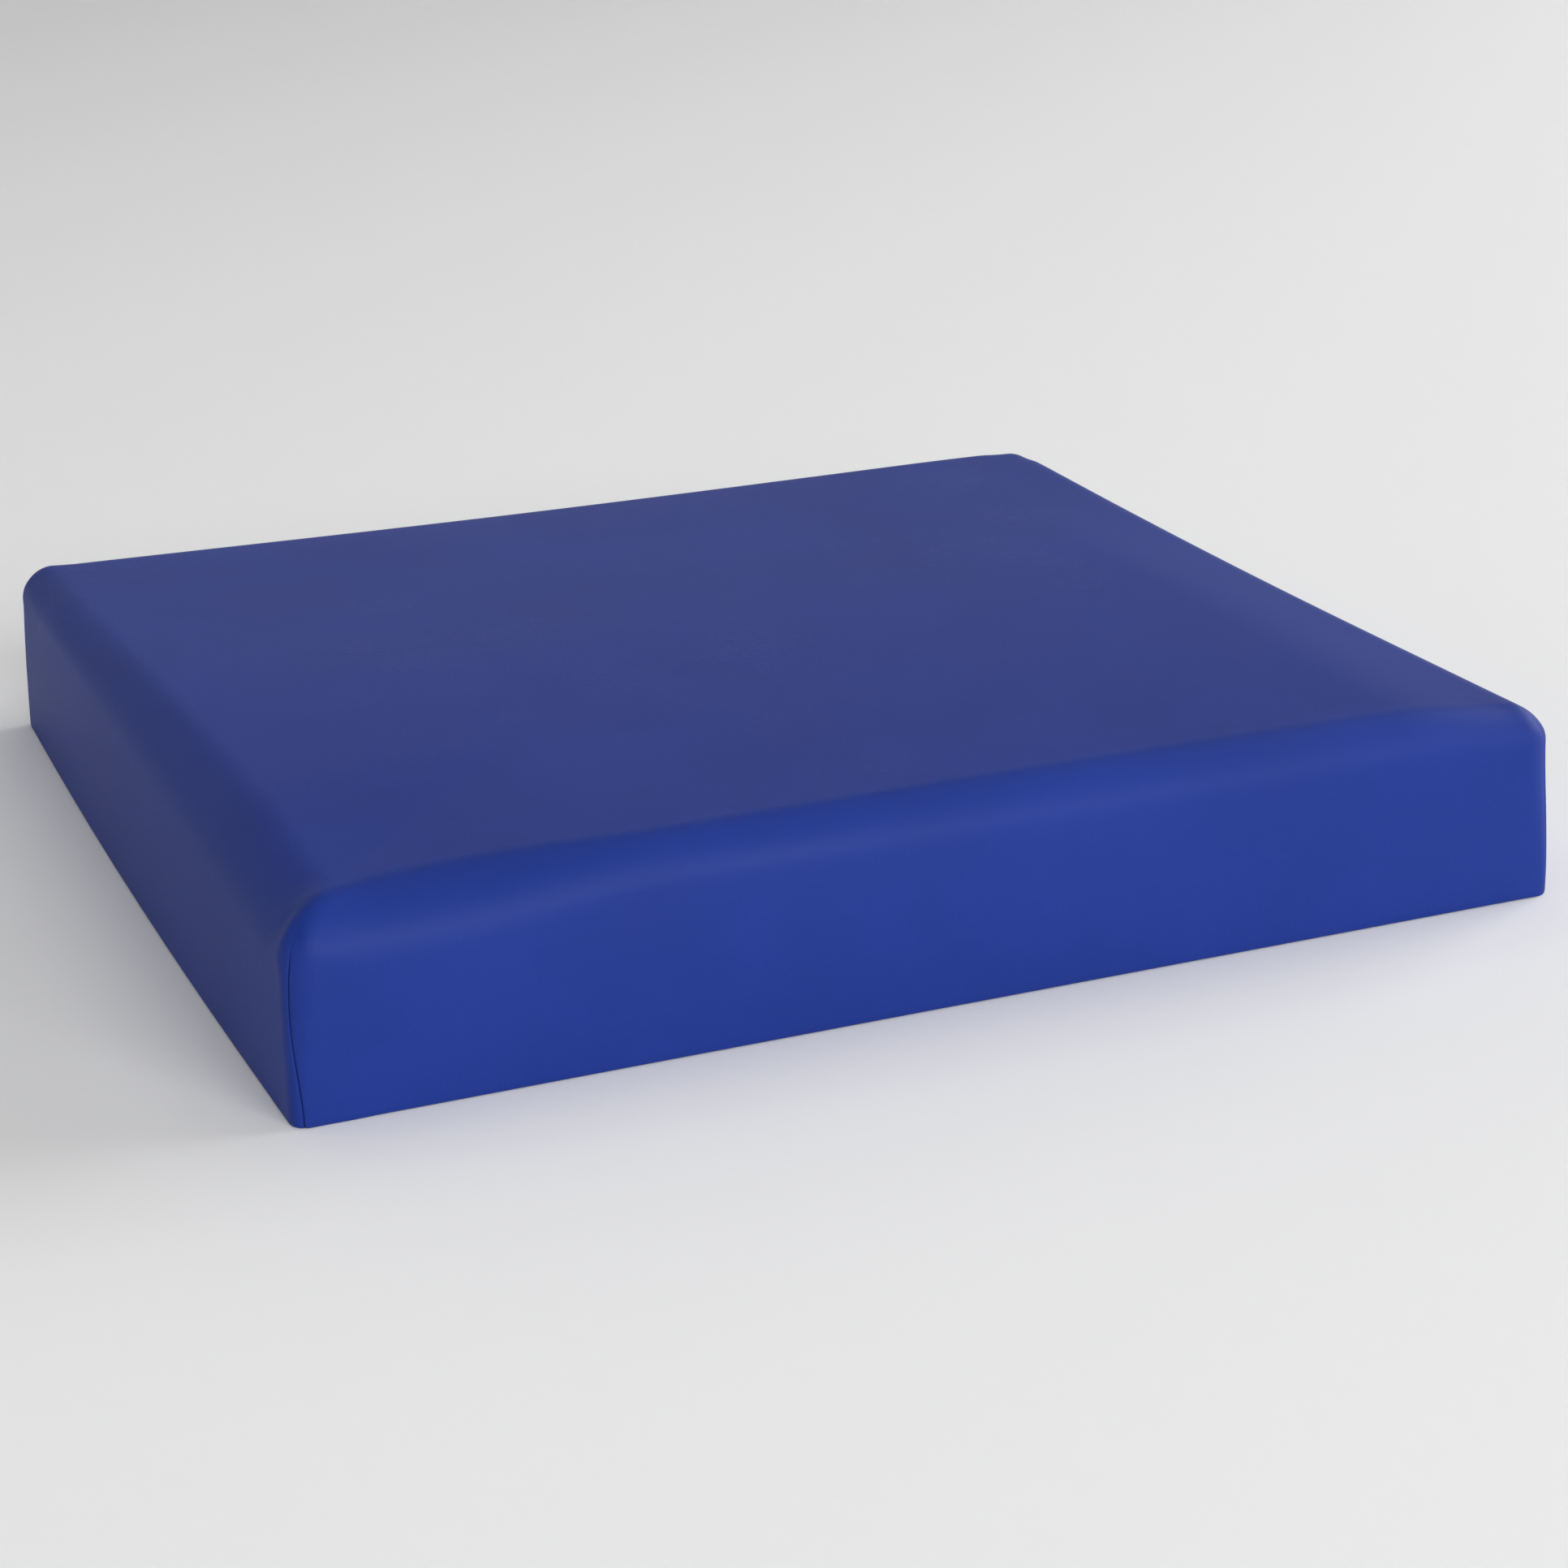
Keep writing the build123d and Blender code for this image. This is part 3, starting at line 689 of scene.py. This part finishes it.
def make_dots(material):
    """Low rubber domes in staggered rows under the base sheet."""
    reach_x, reach_y = HALF_X - DOT_MARGIN, HALF_Y - DOT_MARGIN
    step_y = DOT_PITCH * math.sqrt(3) / 2
    rows = int(2 * reach_y / step_y)
    sides = DOT_SIDES
    turn = np.arange(sides) * 2 * math.pi / sides
    circle = np.column_stack([np.cos(turn), np.sin(turn)])
    levels = [(1.0, 0.0), (0.82, 0.6), (0.45, 0.95)]
    vertices, faces = [], []
    for row in range(rows + 1):
        y = (row - rows / 2) * step_y
        columns = int(2 * reach_x / DOT_PITCH) - row % 2
        for column in range(columns + 1):
            x = (column - columns / 2) * DOT_PITCH
            start = len(vertices)
            for width, depth in levels:
                for cx, cy in circle * DOT_RADIUS * width:
                    vertices.append((x + cx, y + cy, BASE_LIFT * (1 - depth) + 0.02 * MM * (depth == 0)))
            vertices.append((x, y, 0))
            for level in range(len(levels) - 1):
                for k in range(sides):
                    a, b = start + level * sides + k, start + level * sides + (k + 1) % sides
                    faces.append((a, a + sides, b + sides, b))
            last = start + (len(levels) - 1) * sides
            faces += [(last + k, len(vertices) - 1, last + (k + 1) % sides) for k in range(sides)]
            faces.append(tuple(start + k for k in range(sides)))
    flat = np.array(vertices)
    placed = shaped(flat)
    placed[:, 2] = flat[:, 2]
    return make_mesh("base_grip_dots", placed, faces, [material])


# ---- tubes: threads, stitches and the zip's coil ----
def tube(points, radii, sides):
    """Vertices and faces of a tube along points, closed at both ends."""
    points = np.asarray(points, float)
    way = np.gradient(points, axis=0)
    way /= np.linalg.norm(way, axis=1, keepdims=True)
    across = np.cross(way[0], [0.31, 0.87, 0.39])
    frames = []
    for direction in way:
        across = across - direction * (across @ direction)
        across = across / np.linalg.norm(across)
        frames.append((across, np.cross(direction, across)))
    turn = np.arange(sides) * 2 * math.pi / sides
    first = np.array([f[0] for f in frames])[:, None, :] * np.cos(turn)[None, :, None]
    second = np.array([f[1] for f in frames])[:, None, :] * np.sin(turn)[None, :, None]
    radii = np.broadcast_to(np.asarray(radii, float), (len(points),))
    vertices = points[:, None, :] + (first + second) * radii[:, None, None]
    faces = ring_faces(len(points), sides).tolist()
    faces.append(list(range(sides))[::-1])
    faces.append([(len(points) - 1) * sides + i for i in range(sides)])
    return vertices.reshape(-1, 3), faces


def tubes_mesh(name, lines, radius, sides, materials):
    """One piece made of several tubes. radius is a number, or one list of radii for them all."""
    vertices, faces, start = [], [], 0
    for line in lines:
        more, quads = tube(line, radius, sides)
        vertices.append(more)
        faces += [[start + v for v in face] for face in quads]
        start += len(more)
    return make_mesh(name, np.concatenate(vertices), faces, materials)


THREAD_RADIUS = 0.2 * MM
THREAD_BEHIND = 2.4 * MM        # the corner seams are sewn this far behind their fold
SEAM_STITCH = 3.0 * MM


def sewn_line(points, normals, pitch, height):
    """A line of lockstitches along points: it rises between holes and dips into each one."""
    distance = np.concatenate([[0], np.cumsum(np.linalg.norm(np.diff(points, axis=0), axis=1))])
    dip = np.abs(np.sin(math.pi * distance / pitch)) ** 0.4
    return points + normals * (height * (dip - 0.5))[:, None]


def make_corner_threads(material):
    """The two threads of each corner seam, one on either side of its plies."""
    names = {(-1, -1): "front_left", (1, -1): "front_right", (-1, 1): "rear_left", (1, 1): "rear_right"}
    for (sx, sy), name in names.items():
        node = "corner_seam_thread_" + name
        low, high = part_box(node)
        heights = np.arange(low.z, high.z, 0.5 * MM)
        diagonal = np.array([sx, sy, 0]) / math.sqrt(2)
        across = np.array([sx, -sy, 0]) / math.sqrt(2)
        centre = np.array([sx * (HALF_X - CORNER), sy * (HALF_Y - CORNER), 0])
        lines = []
        for side in (-1, 1):
            off = side * (SEAM_GAP + SHEET + THREAD_RADIUS)
            behind = THREAD_BEHIND + 2.2 * MM * smooth((heights - high.z + 18 * MM) / (18 * MM))
            line = centre + diagonal * (CORNER - behind)[:, None] + across * off
            line[:, 2] = heights
            normals = np.tile(across * side, (len(heights), 1))
            lines.append(shaped(sewn_line(line, normals, SEAM_STITCH, 0.25 * MM)))
        thread = tubes_mesh("seam_thread_" + name, lines, THREAD_RADIUS, 6, [material])
        put_on_pad(thread, node)


def make_base_thread(material):
    """The seam that joins the base panel's rim to the hem: a line of stitches inside the rim of each side."""
    lines = []
    for side in SIDES:
        along, out, half_along, half_out = side_frame(side)
        reach = half_along - CORNER - 2 * MM
        e = np.arange(-reach, reach, 0.75 * MM)
        inside = half_out - BASE_INSET - SHEET - THREAD_RADIUS
        line = np.column_stack([e, np.full(e.shape, inside), np.full(e.shape, 5 * MM)])
        placed = to_pad(line, along, out)
        normals = np.tile(-out, (len(e), 1))
        lines.append(shaped(sewn_line(placed, normals, SEAM_STITCH, 0.2 * MM)))
    thread = tubes_mesh("base_thread", lines, THREAD_RADIUS, 5, [material])
    put_on_pad(thread, "base_seam_thread")


def wall_surface(x, z):
    """A point of the rear wall's outer face, beside the zip."""
    x, z = np.broadcast_arrays(x, z)
    point = np.column_stack([x, np.full(x.shape, HALF_Y) + zip_swell(x, z), z])
    return on_pad(point, np.tile([0, 1.0, 0], (len(x), 1)))


STITCH_PITCH = 4.0 * MM
STITCH_LENGTH = 3.0 * MM
STITCH_RADIUS = 0.27 * MM


def make_zip_stitching(material):
    """Top stitches above and below the window: each rises out of one needle hole and goes into the next."""
    for side, name in ((1, "upper"), (-1, "lower")):
        node = "zip_stitching_" + name
        low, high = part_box(node)
        z = (low.z + high.z) / 2
        count = int(round((high.x - low.x - STITCH_LENGTH) / STITCH_PITCH)) + 1
        lines = []
        for number in range(count):
            middle = low.x + STITCH_LENGTH / 2 + number * STITCH_PITCH
            t = np.linspace(-1, 1, 9)
            wobble = 0.07 * MM * math.sin(number * 2.4)
            heights = np.full(t.shape, z) + wobble + 0.06 * MM * side * t
            line = wall_surface(middle + t * STITCH_LENGTH / 2 * 1.08, heights)
            line[:, 1] += STITCH_RADIUS * (1.1 - 2.3 * t**6)
            lines.append(line)
        radii = STITCH_RADIUS * np.array([0.7, 0.85, 0.95, 1, 1, 1, 0.95, 0.85, 0.7])
        stitches = tubes_mesh("top_stitches_" + name, lines, radii, 8, [material])
        put_on_pad(stitches, node)


WIRE = 0.33 * MM
COIL_PITCH = 2.0 * MM
HEAD_RADIUS = 0.35 * MM
TOOTH_OFFSET = 0.5 * MM         # from the start of a row to the middle of its first tooth


def coil_line(row_start, side, count):
    """The monofilament's centre line: each tooth is a loop with its head past the zip's centre line."""
    front = coil_high.y - WIRE
    back = coil_low.y + WIRE
    outer = coil_high.z - ZIP_Z - WIRE
    head = coil_low.z - ZIP_Z + WIRE * 1.2
    middle, half = (front + back) / 2, (front - back) / 2
    tooth = [(0, outer - 0.2 * MM, front), (0, outer * 0.6, front), (0, 0.2 * MM, front)]
    for k in range(1, 5):
        angle = math.pi * k / 5
        tooth.append((0, head + HEAD_RADIUS * (1 - math.sin(angle)), middle + half * math.cos(angle)))
    tooth += [(0, 0.2 * MM, back), (0, outer * 0.6, back), (0.12 * COIL_PITCH, outer - 0.2 * MM, back)]
    tooth += [(0.35 * COIL_PITCH, outer, middle - half / 2), (0.65 * COIL_PITCH, outer, middle + half / 2)]
    tooth = np.array(tooth)
    radii = WIRE * np.array([1, 1, 1.05, 1.25, 1.3, 1.3, 1.25, 1.05, 1, 1, 1, 1])
    points = np.concatenate([tooth + [row_start + number * COIL_PITCH, 0, 0] for number in range(count)])
    line = np.column_stack([points[:, 0], points[:, 2], ZIP_Z + side * points[:, 1]])
    return line, np.tile(radii, count)


def make_zip(tape_material, coil_material, thread_material):
    """Both sides of the zip: a coil row, the threads that hold it, and its tape."""
    count = int((coil_high.x - coil_low.x) / COIL_PITCH)
    for side, name, shift in ((1, "upper", 0.0), (-1, "lower", COIL_PITCH / 2)):
        start = coil_low.x + TOOTH_OFFSET + shift
        line, radii = coil_line(start, side, count)
        vertices, faces = tube(line, radii, 6)
        coil = make_mesh("coil_row_" + name, vertices, faces, [coil_material])
        put_on_pad(coil, "zip_coil_" + name)
        put_on_pad(coil_thread(side, name, start, count, thread_material))
        put_on_pad(make_tape(side, name, tape_material), "zip_tape_" + name)


def coil_thread(side, name, start, count, material):
    """The two sewing threads that hold a coil row on its tape. They pass over each tooth."""
    lines = []
    for reach in (1.5 * MM, 2.1 * MM):
        x = start + np.arange(-1, count * 4 + 2) * COIL_PITCH / 4
        over = 0.5 + 0.5 * np.cos(2 * math.pi * (x - start) / COIL_PITCH)
        y = coil_low.y + 0.9 * MM + (coil_high.y - coil_low.y - 0.8 * MM) * over**0.6
        lines.append(np.column_stack([x, y, np.full(x.shape, ZIP_Z + side * reach)]))
    return tubes_mesh("coil_thread_" + name, lines, 0.13 * MM, 5, [material])


def make_tape(side, name, material):
    """A woven strip with a corded inner edge and a thinner outer one."""
    low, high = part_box("zip_tape_" + name)
    inner = min(abs(low.z - ZIP_Z), abs(high.z - ZIP_Z))
    outer = max(abs(low.z - ZIP_Z), abs(high.z - ZIP_Z))
    reach = [inner, inner + 0.25 * MM, inner + 0.8 * MM, inner + 1.4 * MM]
    reach += [3 * MM, 4.6 * MM, 7 * MM, 10 * MM, outer - 1.2 * MM, outer - 0.5 * MM, outer]
    thick = np.array([0.12, 0.27, 0.3, 0.24, 0.22, 0.22, 0.22, 0.22, 0.25, 0.22, 0.1]) * MM
    x = np.linspace(low.x, high.x, 207)
    middle = low.y + 0.3 * MM
    flutter = 0.05 * MM * np.sin(x * 410) * np.sin(x * 173 + side)
    section = np.array([*zip(reach, thick), *zip(reach[::-1], -thick[::-1])])
    size = len(section)
    loops = []
    for place, wave in zip(x, flutter):
        y = middle + section[:, 1] + wave * smooth((section[:, 0] - 3 * MM) / (3 * MM))
        loops.append(np.column_stack([np.full(size, place), y, ZIP_Z + side * section[:, 0]]))
    loops = np.array(loops)
    faces = ring_faces(len(x), size)
    faces = faces if side > 0 else faces[:, ::-1]
    ends = [list(range(size)), [(len(x) - 1) * size + k for k in range(size)][::-1]]
    ends = ends if side > 0 else [end[::-1] for end in ends]
    return make_mesh("tape_" + name, loops.reshape(-1, 3), faces.tolist() + ends, [material])


# ---- camera, light and floor ----
CAMERA_PLACE = Vector((-0.44276, -1.07083, 0.44221))
CAMERA_YAW = math.radians(23.367)
CAMERA_PITCH = math.radians(20.572)
CAMERA_ROLL = math.radians(-0.306)
CAMERA_LENS = 75.67
SENSOR = 36.0


def make_camera():
    """The camera at the viewing angle of the reference."""
    data = bpy.data.cameras.new("camera")
    data.sensor_width = SENSOR
    data.lens = CAMERA_LENS
    data.clip_start, data.clip_end = 0.05, 50
    camera = bpy.data.objects.new("camera", data)
    ahead = Vector((math.sin(CAMERA_YAW), math.cos(CAMERA_YAW), 0))
    forward = ahead * math.cos(CAMERA_PITCH) - Vector((0, 0, math.sin(CAMERA_PITCH)))
    right = Vector((ahead.y, -ahead.x, 0))
    up = right.cross(forward)
    level = Matrix((right, up, -forward)).transposed()
    roll = Matrix.Rotation(CAMERA_ROLL, 3, "Z")
    camera.matrix_world = Matrix.Translation(CAMERA_PLACE) @ (level @ roll).to_4x4()
    bpy.context.scene.collection.objects.link(camera)
    bpy.context.scene.camera = camera


def make_area_light(name, place, target, size, power):
    data = bpy.data.lights.new(name, "AREA")
    data.shape = "RECTANGLE"
    data.size, data.size_y = size
    data.energy = power
    light = bpy.data.objects.new(name, data)
    light.visible_camera = False
    light.location = place
    light.rotation_euler = (Vector(target) - Vector(place)).to_track_quat("-Z", "Y").to_euler()
    bpy.context.scene.collection.objects.link(light)


FLOOR_RADIUS = 4.2
COVE_RADIUS = 1.6
WALL_HEIGHT = 4.0
FLOOR_DROP = 0.2 * MM           # room for the lowest points of the cover's lower edge


def make_floor():
    """A round white floor, which curves up into a wall a few metres away."""
    material = bpy.data.materials.new("studio_white")
    material.use_nodes = True
    shader = material.node_tree.nodes["Principled BSDF"]
    shader.inputs["Base Color"].default_value = (0.92, 0.92, 0.92, 1)
    shader.inputs["Roughness"].default_value = 0.9
    shader.inputs["Specular IOR Level"].default_value = 0.1
    turns = np.linspace(0, math.pi / 2, 13)
    profile = [(FLOOR_RADIUS * share, 0.0) for share in (0.02, 0.3, 0.7)]
    profile += [(FLOOR_RADIUS + COVE_RADIUS * math.sin(t), COVE_RADIUS * (1 - math.cos(t))) for t in turns]
    profile += [(FLOOR_RADIUS + COVE_RADIUS, WALL_HEIGHT)]
    size = 64
    round_turns = np.arange(size) * 2 * math.pi / size
    circle = np.column_stack([np.cos(round_turns), np.sin(round_turns)])
    loops = [np.column_stack([circle * r, np.full(size, z)]) for r, z in profile]
    faces = ring_faces(len(profile), size)[:, ::-1].tolist() + [list(range(size))]
    floor = make_mesh("floor", np.concatenate(loops), faces, [material])
    floor.location.z = -FLOOR_DROP


STUDIO_LIGHTS = [                   # name, place, size in metres, watts
    ("right", (4.3, 0.3, 2.0), (4.0, 1.8), 132),
    ("front", (0.2, -4.2, 1.95), (4.0, 1.8), 140),
    ("overhead", (0.0, 0.1, 2.4), (3.0, 3.0), 17),
    ("rear", (0.3, 4.4, 1.4), (4.5, 1.4), 6),
]


def make_world(strength):
    world = bpy.data.worlds.new("studio")
    world.use_nodes = True
    background = world.node_tree.nodes["Background"]
    background.inputs["Color"].default_value = (1, 1, 1, 1)
    background.inputs["Strength"].default_value = strength
    bpy.context.scene.world = world


# ---- materials ----
class Paint:
    """One procedural material, built up by short calls. Its patterns are in metres."""

    def __init__(self, name, roughness=0.5, metallic=0.0, ior=1.5):
        self.material = bpy.data.materials.new(name)
        self.material.use_nodes = True
        self.tree = self.material.node_tree
        self.shader = self.tree.nodes["Principled BSDF"]
        self.shader.inputs["Roughness"].default_value = roughness
        self.shader.inputs["Metallic"].default_value = metallic
        self.shader.inputs["IOR"].default_value = ior
        self.place = self.tree.nodes.new("ShaderNodeTexCoord").outputs["Object"]
        self.normal = None

    def link(self, source, target):
        self.tree.links.new(source, target)

    def stretched(self, factors):
        node = self.tree.nodes.new("ShaderNodeVectorMath")
        node.operation = "MULTIPLY"
        self.link(self.place, node.inputs[0])
        node.inputs[1].default_value = factors
        return node.outputs[0]

    def noise(self, scale, detail=3.0, roughness=0.5, stretch=(1, 1, 1)):
        node = self.tree.nodes.new("ShaderNodeTexNoise")
        node.inputs["Scale"].default_value = scale
        node.inputs["Detail"].default_value = detail
        node.inputs["Roughness"].default_value = roughness
        self.link(self.stretched(stretch), node.inputs["Vector"])
        return node.outputs["Fac"]

    def cells(self, scale, feature="DISTANCE_TO_EDGE"):
        node = self.tree.nodes.new("ShaderNodeTexVoronoi")
        node.feature = feature
        node.inputs["Scale"].default_value = scale
        self.link(self.place, node.inputs["Vector"])
        return node.outputs["Distance"]

    def waves(self, per_metre, direction, distortion=0.0):
        node = self.tree.nodes.new("ShaderNodeTexWave")
        node.wave_type = "BANDS"
        node.bands_direction = direction
        node.inputs["Scale"].default_value = per_metre / (10 / math.pi)
        node.inputs["Distortion"].default_value = distortion
        self.link(self.place, node.inputs["Vector"])
        return node.outputs["Fac"]

    def combine(self, first, second, operation="ADD"):
        node = self.tree.nodes.new("ShaderNodeMath")
        node.operation = operation
        for value, socket in zip((first, second), node.inputs):
            if isinstance(value, (int, float)):
                socket.default_value = value
            else:
                self.link(value, socket)
        return node.outputs[0]

    def ranged(self, value, source, target):
        node = self.tree.nodes.new("ShaderNodeMapRange")
        self.link(value, node.inputs["Value"])
        node.inputs["From Min"].default_value, node.inputs["From Max"].default_value = source
        node.inputs["To Min"].default_value, node.inputs["To Max"].default_value = target
        return node.outputs["Result"]

    def colour(self, factor, low, high):
        """Base colour from low to high as factor goes from 0.3 to 0.7."""
        node = self.tree.nodes.new("ShaderNodeMix")
        node.data_type = "RGBA"
        self.link(self.ranged(factor, (0.3, 0.7), (0.0, 1.0)), node.inputs["Factor"])
        node.inputs[6].default_value = (*low, 1)
        node.inputs[7].default_value = (*high, 1)
        self.link(node.outputs[2], self.shader.inputs["Base Color"])

    def rough(self, factor, low, high):
        """Roughness from low to high as factor goes from 0.3 to 0.7."""
        self.link(self.ranged(factor, (0.3, 0.7), (low, high)), self.shader.inputs["Roughness"])

    def bump(self, height, distance, strength=1.0):
        """Bumps up to distance high, on top of those before."""
        node = self.tree.nodes.new("ShaderNodeBump")
        node.inputs["Strength"].default_value = strength
        node.inputs["Distance"].default_value = distance
        self.link(height, node.inputs["Height"])
        if self.normal is not None:
            self.link(self.normal, node.inputs["Normal"])
        self.normal = node.outputs["Normal"]
        self.link(self.normal, self.shader.inputs["Normal"])


BLUE = np.array([0.0100, 0.0325, 0.240])    # linear red, green and blue of the sheet; the thread's is darker


def leatherette_paint():
    """Smooth vinyl: a fine pebbled grain, a satin surface and faint rubbed patches."""
    paint = Paint("leatherette")
    paint.shader.inputs["Specular IOR Level"].default_value = 0.17
    paint.colour(paint.noise(14, 4, 0.55), tuple(BLUE * 0.94), tuple(BLUE * 1.06))
    fine = paint.combine(paint.noise(420, 2), 0.5, "MULTIPLY")
    paint.rough(paint.combine(paint.noise(9, 5, 0.6), fine), 0.44, 0.54)
    pebbles = paint.ranged(paint.cells(1250), (0.0, 0.28), (0.0, 1.0))
    paint.bump(pebbles, 0.035 * MM, 0.5)
    paint.bump(paint.noise(3200, 2, 0.5), 0.02 * MM, 0.5)
    return paint.material


def backing_paint():
    """The knitted side of the sheet: columns of small loops."""
    paint = Paint("knit_backing", roughness=0.95)
    paint.colour(paint.noise(300, 3), (0.16, 0.19, 0.33), (0.24, 0.27, 0.42))
    loops = paint.combine(paint.waves(900, "X", 0.6), paint.waves(1100, "Z", 0.6), "MULTIPLY")
    paint.bump(loops, 0.15 * MM, 0.6)
    paint.shader.inputs["Sheen Weight"].default_value = 0.2
    return paint.material


def foam_paint(name, low, high, cell_scale):
    """Cut open-cell foam."""
    paint = Paint(name, roughness=0.95)
    paint.colour(paint.noise(cell_scale * 0.7, 3), low, high)
    paint.bump(paint.cells(cell_scale, "F1"), 0.5 * MM, 0.7)
    paint.bump(paint.noise(cell_scale * 3, 2), 0.15 * MM, 0.5)
    return paint.material


def base_paint():
    """Coated polyester: a plain weave that shows through its coating."""
    paint = Paint("base_cloth")
    weave = paint.combine(paint.waves(1000, "X", 0.4), paint.waves(1000, "Y", 0.4), "MULTIPLY")
    paint.colour(paint.noise(120, 4), (0.013, 0.015, 0.028), (0.021, 0.024, 0.042))
    paint.rough(paint.noise(60, 3), 0.55, 0.7)
    paint.bump(weave, 0.12 * MM, 0.7)
    return paint.material


def dots_paint():
    paint = Paint("grip_dots")
    paint.colour(paint.noise(200, 3), (0.009, 0.010, 0.014), (0.017, 0.018, 0.024))
    paint.rough(paint.noise(500, 3), 0.5, 0.68)
    paint.bump(paint.noise(1500, 3), 0.03 * MM, 0.5)
    return paint.material


def thread_paint():
    """Twisted polyester thread."""
    paint = Paint("navy_thread")
    paint.colour(paint.noise(900, 2), tuple(BLUE * 0.62), tuple(BLUE * 0.95))
    paint.rough(paint.noise(2500, 2), 0.4, 0.6)
    paint.bump(paint.waves(3200, "DIAGONAL", 0.5), 0.06 * MM, 0.7)
    return paint.material


def tape_paint():
    """The zip's woven tape: fine ribs across a plain weave."""
    paint = Paint("zip_tape")
    paint.colour(paint.noise(400, 3), (0.010, 0.016, 0.085), (0.017, 0.026, 0.13))
    paint.rough(paint.noise(800, 2), 0.75, 0.95)
    weave = paint.combine(paint.waves(1700, "X", 0.3), paint.waves(1400, "Z", 0.3), "MULTIPLY")
    paint.bump(weave, 0.12 * MM, 0.8)
    return paint.material


def coil_paint():
    """Nylon monofilament."""
    paint = Paint("zip_coil", ior=1.53)
    paint.colour(paint.noise(260, 3), (0.009, 0.015, 0.085), (0.014, 0.022, 0.12))
    paint.rough(paint.noise(900, 3), 0.24, 0.36)
    paint.bump(paint.noise(2600, 2), 0.012 * MM, 0.5)
    return paint.material


def metal_paint():
    """Nickel-plated zinc: cast, tumbled and a little scuffed."""
    paint = Paint("zip_metal", metallic=1.0)
    paint.colour(paint.noise(300, 4), (0.50, 0.50, 0.51), (0.66, 0.66, 0.67))
    paint.rough(paint.noise(700, 5, 0.65), 0.2, 0.42)
    scuffs = paint.noise(900, 4, 0.6, (0.25, 1, 1.6))
    paint.bump(scuffs, 0.02 * MM, 0.5)
    return paint.material


# ---- the whole scene ----
leatherette = leatherette_paint()
backing = backing_paint()
navy_thread = thread_paint()
metal = metal_paint()
simulate_swelling()
make_cover([leatherette, backing])
make_strip([leatherette, backing])
soft_foam = foam_paint("soft_foam", (0.55, 0.6, 0.66), (0.7, 0.74, 0.78), 900)
firm_foam = foam_paint("firm_foam", (0.16, 0.175, 0.2), (0.25, 0.27, 0.3), 1300)
make_foams(soft_foam, firm_foam)
make_base(base_paint(), backing, dots_paint())
make_corner_threads(navy_thread)
make_base_thread(navy_thread)
make_zip_stitching(navy_thread)
make_zip(tape_paint(), coil_paint(), navy_thread)
for node in ("zip_slider", "zip_pull", "zip_top_stops", "zip_bottom_stop"):
    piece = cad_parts[node]
    piece.data.materials.clear()
    piece.data.materials.append(metal)
make_camera()
make_world(0.03)
for name, place, size, power in STUDIO_LIGHTS:
    make_area_light(name, place, (0, 0, 0.03), size, power)
make_floor()
bpy.context.scene.view_settings.view_transform = "Standard"
